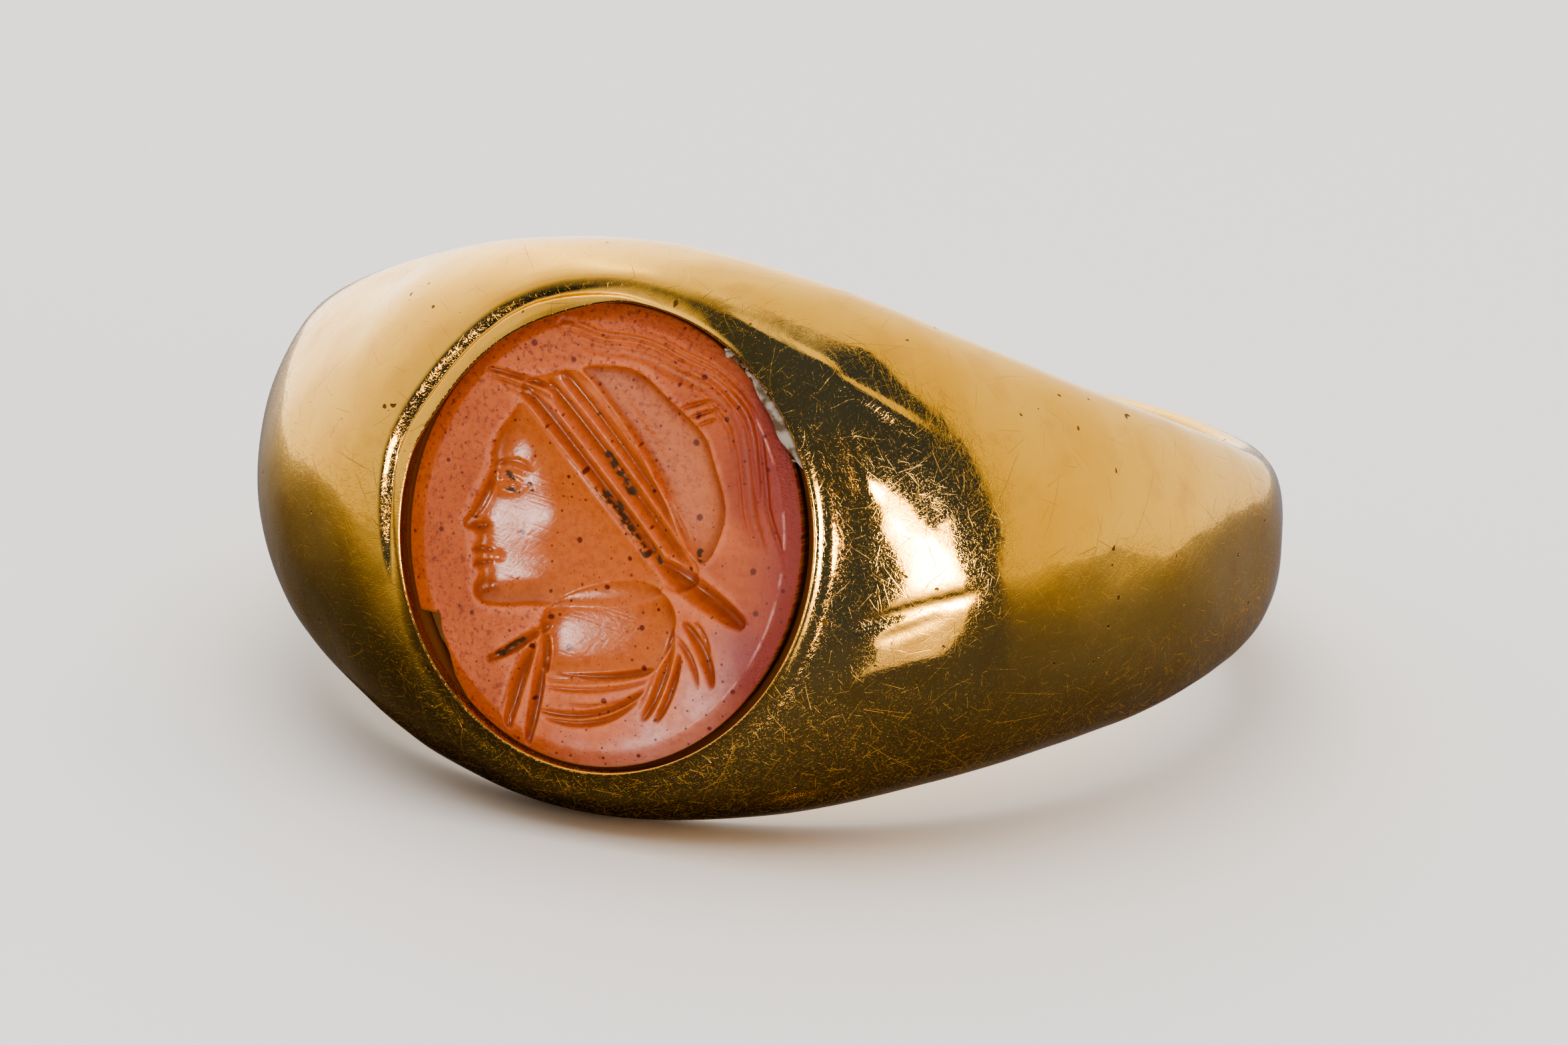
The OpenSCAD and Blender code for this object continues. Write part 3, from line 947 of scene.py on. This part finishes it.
def hairlines_group():
    """One fine straight scratch in each cell of a given spacing, in a random direction."""
    values = {"Spacing": 1.0, "Width": 0.03, "Seed": 0.0}
    nodes, given = shader_group("hairlines", ("Vector", "Normal"), values)
    scale = nodes.math("DIVIDE", 1.0, given["Spacing"])
    scaled = nodes.vector("MULTIPLY", given["Vector"], nodes.even(scale))
    shift = nodes.add("ShaderNodeCombineXYZ", {0: given["Seed"], 1: given["Seed"]}).outputs[0]
    shifted = nodes.vector("ADD", scaled, shift)
    cells = nodes.add("ShaderNodeTexVoronoi", {"Vector": shifted, "Scale": 1.0}).outputs
    local = nodes.vector("SUBTRACT", shifted, cells["Position"])
    random = nodes.vector("SUBTRACT", cells["Color"], (0.5, 0.5, 0.5))
    across = nodes.vector("NORMALIZE", nodes.vector("CROSS_PRODUCT", given["Normal"], random))
    gap = nodes.math("ABSOLUTE", nodes.vector("DOT_PRODUCT", local, across))
    half = nodes.math("MULTIPLY", given["Width"], scale)
    line = nodes.spread(gap, 0.0, half, 1.0, 0.0)
    fade = nodes.spread(nodes.vector("LENGTH", local), 0.25, 0.55, 1.0, 0.0)
    return finished(nodes, "Line", nodes.math("MULTIPLY", line, fade))


def brushed_group():
    """Fine streaks of a given length and width, that run in one direction."""
    values = {"Length": 1.0, "Width": 0.04, "Low": 0.45, "High": 0.75}
    nodes, given = shader_group("brushed", ("Vector", "Direction"), values)
    inputs = {"Vector": given["Vector"], "Rotation": given["Direction"]}
    turned = nodes.add("ShaderNodeMapping", inputs).outputs[0]
    along = nodes.math("DIVIDE", 0.5, given["Length"])
    across = nodes.math("DIVIDE", 0.5, given["Width"])
    scale = nodes.add("ShaderNodeCombineXYZ", {0: along, 1: across, 2: across}).outputs[0]
    streak = nodes.noise(nodes.vector("MULTIPLY", turned, scale), 1.0, detail=1.0)
    return finished(nodes, "Streak", nodes.spread(streak, given["Low"], given["High"]))


def specks_group():
    """Round specks of mixed sizes across X and Y, in a share of the cells of a given spacing."""
    values = {"Spacing": 1.0, "Size": 0.05, "Share": 0.5}
    nodes, given = shader_group("specks", ("Vector",), values)
    scale = nodes.math("DIVIDE", 1.0, given["Spacing"])
    scaled = nodes.vector("MULTIPLY", given["Vector"], nodes.even(scale))
    inputs = {"Vector": scaled, "Scale": 1.0}
    cells = nodes.add("ShaderNodeTexVoronoi", inputs, voronoi_dimensions="2D").outputs
    random = nodes.add("ShaderNodeSeparateColor", {0: cells["Color"]}).outputs
    size = nodes.math("MULTIPLY", given["Size"], nodes.math("MULTIPLY_ADD", random[1], 0.8, 0.2))
    radius = nodes.math("MULTIPLY", size, scale)
    inner = nodes.math("MULTIPLY", radius, 0.5)
    round_mask = nodes.spread(cells["Distance"], inner, radius, 1.0, 0.0)
    there = nodes.math("LESS_THAN", random[0], given["Share"])
    return finished(nodes, "Speck", nodes.math("MULTIPLY", round_mask, there))


def mottle_group():
    """Soft patches of a given size."""
    values = {"Size": 1.0, "Low": 0.4, "High": 0.65}
    nodes, given = shader_group("mottle", ("Vector",), values)
    scale = nodes.math("DIVIDE", 1.0, given["Size"])
    patch = nodes.noise(given["Vector"], scale, detail=4.0, roughness=0.55)
    return finished(nodes, "Patch", nodes.spread(patch, given["Low"], given["High"]))


HAIRLINES = hairlines_group()
BRUSHED = brushed_group()
SPECKS = specks_group()
MOTTLE = mottle_group()


def new_material(name):
    """A material with its Principled shader, and its place on the piece in millimetres."""
    material = bpy.data.materials.new(name)
    material.use_nodes = True
    nodes = Nodes(material.node_tree)
    shader = material.node_tree.nodes["Principled BSDF"]
    place = nodes.add("ShaderNodeTexCoord").outputs["Object"]
    scale = (1 / MM, 1 / MM, 1 / MM)
    in_mm = nodes.add("ShaderNodeMapping", {"Vector": place, "Scale": scale}).outputs[0]
    return material, nodes, shader, in_mm


# Materials

SCRATCHES = [
    # spacing, half width, strength, seed
    (0.20, 0.008, 0.42, 21.0),
    (0.27, 0.009, 0.55, 33.0),
    (0.42, 0.012, 0.75, 47.0),
    (0.75, 0.013, 0.85, 5.0),
    (2.10, 0.014, 0.90, 71.0),
    (4.50, 0.012, 0.70, 91.0),
]
DEEP_SPACING = 0.5
BRUSHINGS = [
    # turns about X, Y and Z of the streaks' direction, their length and width, strength
    ((0.0, 20.0, 0.0), 0.8, 0.016, 0.35),
    ((0.0, -55.0, 20.0), 0.6, 0.015, 0.35),
    ((0.0, 40.0, -50.0), 0.6, 0.016, 0.35),
    ((0.0, 12.0, 30.0), 0.9, 0.016, 0.35),
]
FLECKS = [
    # spacing, size, share of the cells that have one, strength
    (0.80, 0.100, 0.60, 0.80),
    (0.36, 0.045, 0.60, 0.70),
    (0.17, 0.026, 0.45, 0.50),
]
SANDING = [
    # turns about X, Y and Z of the streaks' direction, their length and width, height
    ((0.0, 50.0, 0.0), 0.8, 0.04, 0.0016),
    ((0.0, -10.0, 0.0), 1.2, 0.035, 0.0014),
]


def old_gold():
    material, nodes, shader, place = new_material("old_gold")
    normal = nodes.add("ShaderNodeNewGeometry").outputs["Normal"]
    lines, deep = 0.0, 0.0
    for spacing, width, strength, seed in SCRATCHES:
        sizes = {"Spacing": spacing, "Width": width, "Seed": seed}
        line = nodes.group(HAIRLINES, Vector=place, Normal=normal, **sizes)
        lines = nodes.math("MULTIPLY_ADD", line, strength, lines)
        if spacing > DEEP_SPACING:
            deep = nodes.math("MAXIMUM", line, deep)
    for direction, length, width, strength in BRUSHINGS:
        streak = nodes.streaks(place, direction, Length=length, Width=width, Low=0.60, High=0.72)
        lines = nodes.math("MULTIPLY_ADD", streak, strength, lines)
    height_up = nodes.add("ShaderNodeSeparateXYZ", {0: place}).outputs["Z"]
    low_down = nodes.spread(height_up, 1.0, 5.0, 1.0, 0.0)
    lines = nodes.math("MULTIPLY", lines, nodes.math("MULTIPLY_ADD", low_down, 2.2, 0.85))
    pits = nodes.spread(nodes.noise(place, 3.6, detail=1.0), 0.77, 0.79)
    dull = nodes.group(MOTTLE, Vector=place, Size=2.4, Low=0.35, High=0.75)
    tarnish = nodes.group(MOTTLE, Vector=place, Size=0.8, Low=0.50, High=0.72)
    tone = nodes.mix(dull, color(1.0, 0.62, 0.17), color(0.93, 0.54, 0.125))
    tone = nodes.paint(tone, tarnish, 0.35, 0.80, 0.44, 0.13)
    tone = nodes.paint(tone, deep, 0.45, 0.50, 0.25, 0.08)
    tone = nodes.paint(tone, pits, 0.8, 0.12, 0.05, 0.02)
    rough = nodes.math("MULTIPLY_ADD", dull, 0.05, 0.05)
    rough = nodes.math("MULTIPLY_ADD", nodes.math("MINIMUM", lines, 1.35), 0.42, rough)
    rough = nodes.math("MULTIPLY_ADD", pits, 0.4, rough)
    height = nodes.math("MULTIPLY", nodes.noise(place, 1.1, detail=3.0), 0.014)
    height = nodes.math("MULTIPLY_ADD", lines, -0.0016, height)
    height = nodes.math("MULTIPLY_ADD", pits, -0.02, height)
    looks = {"Base Color": tone, "Metallic": 1.0, "Roughness": rough, "Normal": nodes.bump(height)}
    nodes.feed(shader, looks)
    return material


def carnelian():
    material, nodes, shader, place = new_material("carnelian")
    names = ("cut", "polished", "residue", "broken", "crease_shade", "ridge_highlight", "glint", "side", "edge")
    layer = {name: nodes.layer(name) for name in names}
    polished = layer["polished"]
    parts = nodes.add("ShaderNodeSeparateXYZ", {0: place}).outputs
    across = parts["X"]
    cloud = nodes.group(MOTTLE, Vector=place, Size=2.2, Low=0.35, High=0.7)
    face = nodes.mix(cloud, color(0.56, 0.152, 0.044), color(0.46, 0.110, 0.026))
    # painted sheen: a pinkish-white haze of reflected light painted onto the face, growing towards the
    # lower right and held back at the upper right
    painted_sheen = nodes.vector("DOT_PRODUCT", place, (0.10, 0.0, -0.12))
    painted_sheen = nodes.spread(nodes.math("MULTIPLY_ADD", cloud, 0.25, painted_sheen), -0.35, 0.28)
    upper_right = nodes.vector("DOT_PRODUCT", place, (1.0, 0.0, 0.5))
    painted_sheen = nodes.math("MULTIPLY", painted_sheen, nodes.spread(upper_right, 5.0, 8.0, 1.0, 0.2))
    face = nodes.paint(face, painted_sheen, 0.95, 0.78, 0.52, 0.49)
    tone = nodes.mix(layer["cut"], face, color(0.53, 0.160, 0.052))
    tone = nodes.paint(tone, layer["edge"], 0.7, 0.42, 0.100, 0.028)
    # painted highlight lightens the ridges of the engraving
    tone = nodes.paint(tone, layer["ridge_highlight"], 0.35, 0.66, 0.26, 0.14)
    # painted shade darkens the hollows of the engraving
    tone = nodes.paint(tone, layer["crease_shade"], 0.35, 0.24, 0.032, 0.006)
    side = nodes.spread(nodes.math("MULTIPLY_ADD", cloud, 0.8, across), 2.6, 4.3)
    tone = nodes.paint(tone, side, 0.85, 0.25, 0.028, 0.018)
    grain = nodes.spread(nodes.noise(place, 5.0, detail=5.0, roughness=0.7), 0.42, 0.68)
    tone = nodes.paint(tone, grain, 0.28, 0.28, 0.045, 0.014)
    stained = nodes.spread(nodes.vector("DOT_PRODUCT", place, (-0.30, 0.0, 0.16)), 0.1, 1.3)
    patchy = nodes.spread(nodes.noise(place, 9.0, detail=5.0, roughness=0.65), 0.50, 0.68)
    stained = nodes.math("MULTIPLY", stained, patchy)
    stained = nodes.math("MULTIPLY", stained, nodes.math("MULTIPLY_ADD", polished, -0.8, 1.0))
    tone = nodes.paint(tone, stained, 0.75, 0.20, 0.035, 0.012)
    # painted highlight along the bevel's edge, broken into pieces by noise
    glint_breaks = nodes.spread(nodes.noise(place, 2.5, detail=4.0), 0.38, 0.6)
    painted_edge_glint = nodes.math("MULTIPLY", layer["glint"], glint_breaks)
    tone = nodes.paint(tone, painted_edge_glint, 0.6, 0.80, 0.45, 0.38)
    flattened = nodes.add("ShaderNodeCombineXYZ", {0: across, 1: parts["Z"]}).outputs[0]
    for spacing, size, share, strength in FLECKS:
        fleck = nodes.group(SPECKS, Vector=flattened, Spacing=spacing, Size=size, Share=share)
        tone = nodes.paint(tone, fleck, strength, 0.10, 0.006, 0.004)
    crumbs = nodes.spread(nodes.noise(place, 7.0, detail=4.0), 0.42, 0.52)
    brown = nodes.math("MULTIPLY", nodes.spread(layer["residue"], 0.0, 0.5), crumbs)
    tone = nodes.paint(tone, brown, 0.92, 0.075, 0.038, 0.012)
    tone = nodes.mix(layer["broken"], tone, color(0.26, 0.10, 0.02))
    tone = nodes.mix(layer["side"], tone, color(0.34, 0.13, 0.022))
    satin = nodes.math("MULTIPLY_ADD", polished, -0.22, nodes.spread(across, 3.1, 3.9, 0.38, 0.24))
    dry = nodes.math("MAXIMUM", brown, layer["broken"])
    rough = nodes.math("MAXIMUM", satin, nodes.math("MULTIPLY", dry, 0.7))
    matt = nodes.math("MULTIPLY_ADD", polished, -0.70, 1.0)
    pitted = nodes.noise(place, 9.0, detail=5.0, roughness=0.75)
    height = nodes.math("MULTIPLY", nodes.math("MULTIPLY", pitted, matt), 0.020)
    for direction, length, width, strength in SANDING:
        streak = nodes.streaks(place, direction, Length=length, Width=width)
        height = nodes.math("MULTIPLY_ADD", streak, strength, height)
    looks = {
        "Base Color": tone,
        "Roughness": rough,
        "Normal": nodes.bump(height),
        "IOR": 1.54,
        "Subsurface Weight": 0.45,
        "Subsurface Radius": (1.0, 0.28, 0.08),
        "Subsurface Scale": 0.9 * MM,
    }
    nodes.feed(shader, looks)
    return material


def chalky_bedding():
    material, nodes, shader, place = new_material("chalky_bedding")
    stain = nodes.group(MOTTLE, Vector=place, Size=0.3, Low=0.4, High=0.65)
    tone = nodes.mix(stain, color(0.50, 0.44, 0.37), color(0.20, 0.14, 0.08))
    tone = nodes.mix(nodes.layer("soaked"), tone, color(0.22, 0.085, 0.015))
    surface = nodes.bump(nodes.noise(place, 12.0, detail=4.0), 0.02 * MM)
    nodes.feed(shader, {"Base Color": tone, "Roughness": 0.8, "Normal": surface})
    return material


# Bedding crumbs in the gap beside the stone, scattered along a line by Geometry Nodes

CRUMB_ARC = (27.0, 61.0)
CRUMB_LINE_INSET = 0.13
CRUMB_LINE_POINTS = 24
CRUMB_COUNT = 70
CRUMB_SIZE = 0.07
CRUMB_SCATTER = 0.05
CRUMB_SCALES = (0.25, 1.3)
FULL_TURN = 6.28


def crumbs_tree():
    tree = bpy.data.node_groups.new("crumbs_along_a_gap", "GeometryNodeTree")
    tree.interface.new_socket("Line", in_out="INPUT", socket_type="NodeSocketGeometry")
    for label, kind, value in (
        ("Count", "NodeSocketInt", CRUMB_COUNT),
        ("Size", "NodeSocketFloat", CRUMB_SIZE * MM),
        ("Scatter", "NodeSocketFloat", CRUMB_SCATTER * MM),
        ("Seed", "NodeSocketInt", 4),
        ("Material", "NodeSocketMaterial", None),
    ):
        socket = tree.interface.new_socket(label, in_out="INPUT", socket_type=kind)
        if value is not None:
            socket.default_value = value
    tree.interface.new_socket("Crumbs", in_out="OUTPUT", socket_type="NodeSocketGeometry")
    nodes = Nodes(tree)
    given = nodes.add("NodeGroupInput").outputs
    curve = nodes.add("GeometryNodeMeshToCurve", {"Mesh": given["Line"]}).outputs[0]
    inputs = {"Curve": curve, "Count": given["Count"]}
    spots = nodes.add("GeometryNodeCurveToPoints", inputs).outputs["Points"]

    def random_vector(low, high, seed):
        inputs = {0: (low,) * 3, 1: (high,) * 3, "Seed": seed}
        return nodes.add("FunctionNodeRandomValue", inputs, data_type="FLOAT_VECTOR").outputs[0]

    push = nodes.vector("SCALE", random_vector(-1, 1, given["Seed"]), Scale=given["Scatter"])
    moved = nodes.add("GeometryNodeSetPosition", {"Geometry": spots, "Offset": push}).outputs[0]
    inputs = {"Radius": given["Size"], "Subdivisions": 2}
    crumb = nodes.add("GeometryNodeMeshIcoSphere", inputs).outputs["Mesh"]
    at = nodes.add("GeometryNodeInputPosition").outputs[0]
    inputs = {"Vector": at, "Scale": 0.9 / (CRUMB_SIZE * MM), "Detail": 2.0}
    lumps = nodes.add("ShaderNodeTexNoise", inputs).outputs["Color"]
    centred = nodes.vector("SUBTRACT", lumps, (0.5, 0.5, 0.5))
    lump = nodes.vector("SCALE", centred, Scale=given["Size"])
    rough = nodes.add("GeometryNodeSetPosition", {"Geometry": crumb, "Offset": lump}).outputs[0]
    other_seed = nodes.math("ADD", given["Seed"], 1.0)
    inputs = {
        "Points": moved,
        "Instance": rough,
        "Rotation": random_vector(0, FULL_TURN, given["Seed"]),
        "Scale": random_vector(*CRUMB_SCALES, other_seed),
    }
    placed = nodes.add("GeometryNodeInstanceOnPoints", inputs).outputs[0]
    solid = nodes.add("GeometryNodeRealizeInstances", {"Geometry": placed}).outputs[0]
    inputs = {"Geometry": solid, "Material": given["Material"]}
    painted = nodes.add("GeometryNodeSetMaterial", inputs).outputs[0]
    nodes.add("NodeGroupOutput", {"Crumbs": painted})
    return tree


def make_crumbs(material):
    theta = np.radians(np.linspace(*CRUMB_ARC, CRUMB_LINE_POINTS))
    a, b = OPENING[0] / 2 - CRUMB_LINE_INSET, OPENING[1] / 2 - CRUMB_LINE_INSET / 2
    line = np.stack([a * np.cos(theta), 0 * theta - (STONE_FACE - 0.12), b * np.sin(theta)], -1)
    mesh = bpy.data.meshes.new("bedding_line")
    mesh.from_pydata(laid(line).tolist(), [(i, i + 1) for i in range(len(line) - 1)], [])
    source = new_object("bedding_line", mesh)
    tree = crumbs_tree()
    modifier = source.modifiers.new("crumbs", "NODES")
    modifier.node_group = tree
    names = {s.name: s.identifier for s in tree.interface.items_tree if s.in_out == "INPUT"}
    modifier[names["Material"]] = material
    modifier[names["Count"]] = CRUMB_COUNT
    evaluated = source.evaluated_get(bpy.context.evaluated_depsgraph_get())
    made = bpy.data.meshes.new_from_object(evaluated)
    bpy.data.objects.remove(source)
    made.name = "bedding_crumbs"
    return new_object("bedding_crumbs", made)


# The bedding itself: a dark soaked ring deep in the gap, and a pale mound at the upper right

BED_DEPTH = 0.46
BED_HALF = (0.16, 0.10)
BED_INSET = 0.10
BED_STEP = 1.5
MOUND_ARC = (25.0, 53.0)
MOUND_DEPTH = 0.11
MOUND_HALF = (0.16, 0.10)
MOUND_INSET = 0.17
MOUND_COLUMNS = 120
TUBE_SIDES = 10


def tube(theta, inset, depth, half_width, half_height, seed, closed):
    """A lumpy tube along the gap; half sizes and inset are one value for each column."""
    turns = np.radians(np.arange(TUBE_SIDES) * 360 / TUBE_SIDES)
    rows = []
    for turn in turns:
        place = oval(theta, -(inset + half_width * math.cos(turn))[:, None])
        level = -(STONE_FACE - depth + half_height * math.sin(turn))
        rows.append(np.stack([place[:, 0], level, place[:, 1]], -1))
    points = np.stack(rows, 1).reshape(-1, 3)
    points = points + 0.03 * waviness(points, 0.12, seed)[:, None] * np.array([0.4, -1.0, 0.4])
    columns = len(theta)
    faces = []
    for c in range(columns if closed else columns - 1):
        d = (c + 1) % columns
        for r in range(TUBE_SIDES):
            q = (r + 1) % TUBE_SIDES
            faces.append((c * TUBE_SIDES + r, d * TUBE_SIDES + r, d * TUBE_SIDES + q, c * TUBE_SIDES + q))
    if not closed:
        faces.append(tuple(range(TUBE_SIDES)))
        faces.append(tuple((columns - 1) * TUBE_SIDES + r for r in range(TUBE_SIDES)))
    return points, faces


def make_bed(material):
    theta = np.arange(0, 360, BED_STEP)
    even = np.ones(len(theta))
    half_width, half_height = BED_HALF[0] * even, BED_HALF[1] * even
    inset = BED_INSET * even
    ring_points, ring_faces = tube(theta, inset, BED_DEPTH, half_width, half_height, 3.0, True)
    theta = np.linspace(*MOUND_ARC, MOUND_COLUMNS)
    ends = np.sin(np.pi * np.linspace(0.02, 0.98, len(theta))) ** 0.5
    wander = 1 + 0.35 * waviness(np.stack([theta, 0 * theta, 0 * theta], -1), 7.0, 5.0)
    width = MOUND_HALF[0] * ends * wander
    inset = MOUND_INSET * ends * wander - 0.02
    height = MOUND_HALF[1] * ends
    mound_points, mound_faces = tube(theta, inset, MOUND_DEPTH, width, height, 6.0, False)
    start = len(ring_points)
    faces = ring_faces + [tuple(start + i for i in face) for face in mound_faces]
    soaked = np.concatenate([np.ones(start), np.zeros(len(mound_points))])
    points = np.concatenate([ring_points, mound_points])
    bed = make_piece("bedding_bed", points, faces, layers={"soaked": soaked})
    bed.data.materials.append(material)
    return bed


# The pieces

gold = old_gold()
ring = make_piece("gold_ring", *ring_mesh(), merge=0.0004)
ring.data.materials.append(gold)
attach(ring, "root")
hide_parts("ring")

stone_points, stone_faces, stone_layers = stone_mesh()
stone = make_piece("engraved_stone", stone_points, stone_faces, merge=0.0001, layers=stone_layers)
stone.data.materials.append(carnelian())
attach(stone, "root")
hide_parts("intaglio")

bedding = chalky_bedding()
bed = make_bed(bedding)
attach(bed, "root")
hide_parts("bedding")

crumbs = make_crumbs(bedding)
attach(crumbs, "root")
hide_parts("bedding")


# Floor and light: the floor's size and the lamps' sizes and distance are in metres

FLOOR_SIZE = 0.8
GROUND_EDGES = [
    # azimuth of an edge of the dark ground, its distance from the middle in millimetres
    (-125.0, 48.0),
    (168.0, 28.0),
]


def way_at(azimuth, elevation=0.0):
    """Unit vector at an azimuth from the front, towards +X, and an elevation."""
    a, e = math.radians(azimuth), math.radians(elevation)
    return (math.sin(a) * math.cos(e), -math.cos(a) * math.cos(e), math.sin(e))


def make_floor():
    mesh = bpy.data.meshes.new("floor")
    h = FLOOR_SIZE / 2
    mesh.from_pydata([(-h, -h, 0), (h, -h, 0), (h, h, 0), (-h, h, 0)], [], [(0, 1, 2, 3)])
    floor = new_object("floor", mesh)
    material = bpy.data.materials.new("pale_floor")
    material.use_nodes = True
    nodes = Nodes(material.node_tree)
    tree = material.node_tree
    pale = tree.nodes["Principled BSDF"]
    looks = {"Base Color": color(0.86, 0.85, 0.83), "Roughness": 0.7, "Specular IOR Level": 0.2}
    nodes.feed(pale, looks)
    # In the gold the floor shows as a dark ground, with light again beyond its edges
    place = nodes.add("ShaderNodeTexCoord").outputs["Object"]
    across = nodes.add("ShaderNodeSeparateXYZ", {0: place}).outputs["X"]
    rightward = nodes.spread(across, -9 * MM, 8 * MM)
    shade = nodes.mix(rightward, color(0.015, 0.020, 0.040), color(0.095, 0.108, 0.170))
    inputs = {"Base Color": shade, "Roughness": 0.05, "IOR": 1.5, "Specular IOR Level": 0.25}
    dark = nodes.add("ShaderNodeBsdfPrincipled", inputs)
    beyond = nodes.add("ShaderNodeBsdfTransparent")
    far = 0.0
    for azimuth, distance in GROUND_EDGES:
        out = nodes.vector("DOT_PRODUCT", place, way_at(azimuth))
        far = nodes.math("MAXIMUM", nodes.spread(out, distance * MM, (distance + 2) * MM), far)
    ground = nodes.add("ShaderNodeMixShader", {0: far, 1: dark.outputs[0], 2: beyond.outputs[0]})
    glossy = nodes.add("ShaderNodeLightPath").outputs["Is Glossy Ray"]
    both = nodes.add("ShaderNodeMixShader", {0: glossy, 1: pale.outputs[0], 2: ground.outputs[0]})
    nodes.feed(tree.nodes["Material Output"], {"Surface": both.outputs[0]})
    mesh.materials.append(material)


DOME = [
    # azimuth, and the light there of the screens round the ring, which are dim in front
    (-180, (0.95, 0.93, 0.90)),
    (-145, (1.75, 1.72, 1.70)),
    (-115, (1.10, 1.06, 1.02)),
    (-75, (0.72, 0.66, 0.58)),
    (-48, (0.66, 0.62, 0.56)),
    (-30, (0.36, 0.34, 0.31)),
    (-20, (0.072, 0.100, 0.200)),
    (76.5, (0.062, 0.088, 0.190)),
    (79.0, (0.68, 0.59, 0.40)),
    (135, (0.80, 0.75, 0.65)),
    (180, (0.95, 0.93, 0.90)),
]
ZENITH = (0.85, 0.82, 0.78)
DOME_LEAN = 25.0
LAMPS = [
    # azimuth and elevation of the middle, half width, half height, brightness, blue,
    # name of the one piece it lights, or None for everything
    (49.0, 8.0, 10.0, 15.0, 5.0, 0.70, None),
    (49.0, 9.0, 5.5, 8.0, 22.0, 0.85, "gold_ring"),
    (-3.0, 4.0, 4.5, 5.0, 13.0, 0.50, "gold_ring"),
    (-4.0, 4.0, 6.0, 6.0, 26.0, 1.0, "engraved_stone"),
]
LAMP_DISTANCE = 0.4
OVERHEAD_SIZE = 0.5
OVERHEAD_POWER = 1.0


def make_lamp(name, place, size, power):
    data = bpy.data.lights.new(name, "AREA")
    data.shape = "RECTANGLE"
    data.size, data.size_y = size
    data.energy = power
    lamp = new_object(name, data)
    lamp.location = place
    lamp.rotation_euler = Vector(place).to_track_quat("Z", "Y").to_euler()
    lamp.visible_camera = False
    return lamp


def make_light():
    world = bpy.data.worlds.new("studio")
    bpy.context.scene.world = world
    world.use_nodes = True
    nodes = Nodes(world.node_tree)
    way = nodes.add("ShaderNodeTexCoord").outputs["Generated"]
    part = nodes.add("ShaderNodeSeparateXYZ", {0: way}).outputs
    turn = nodes.math("ARCTAN2", part["X"], nodes.math("MULTIPLY", part["Y"], -1.0))
    rise = nodes.math("ARCSINE", nodes.math("MAXIMUM", part["Z"], 0.0))
    lean = nodes.math("POWER", nodes.math("MULTIPLY", rise, 3 / math.pi), 2.0)
    share = nodes.math("MULTIPLY_ADD", turn, 0.5 / math.pi, 0.5)
    leaning = nodes.math("MULTIPLY_ADD", lean, -DOME_LEAN / 360, share)
    ramp = nodes.add("ShaderNodeValToRGB", {0: leaning})
    stops = ramp.color_ramp.elements
    while len(stops) < len(DOME):
        stops.new(0.5)
    for stop, (azimuth, shine) in zip(stops, DOME):
        stop.position = azimuth / 360 + 0.5
        stop.color = color(*shine)
    overhead = nodes.spread(rise, math.radians(62), math.radians(82))
    total = nodes.mix(overhead, ramp.outputs[0], color(*ZENITH))
    nodes.feed(world.node_tree.nodes["Background"], {"Color": total})
    for number, (azimuth, elevation, *halves, brightness, blue, lit) in enumerate(LAMPS):
        size = [2 * LAMP_DISTANCE * math.tan(math.radians(half)) for half in halves]
        place = [LAMP_DISTANCE * c for c in way_at(azimuth, elevation)]
        lamp = make_lamp(f"softbox_{number}", place, size, brightness * math.pi * size[0] * size[1])
        lamp.data.color = (1.0, (1.0 + blue) / 2, blue)
        if lit:
            alone = bpy.data.collections.new(f"lit_by_{number}")
            alone.objects.link(bpy.data.objects[lit])
            lamp.light_linking.receiver_collection = alone
        if lit == "engraved_stone":
            lamp.data.shape = "ELLIPSE"
    size = (OVERHEAD_SIZE, OVERHEAD_SIZE)
    top = make_lamp("overhead", (0, 0, LAMP_DISTANCE), size, OVERHEAD_POWER)
    top.visible_glossy = False


make_floor()
make_light()
bpy.context.scene.view_settings.view_transform = "AgX"
bpy.context.scene.view_settings.look = "AgX - High Contrast"
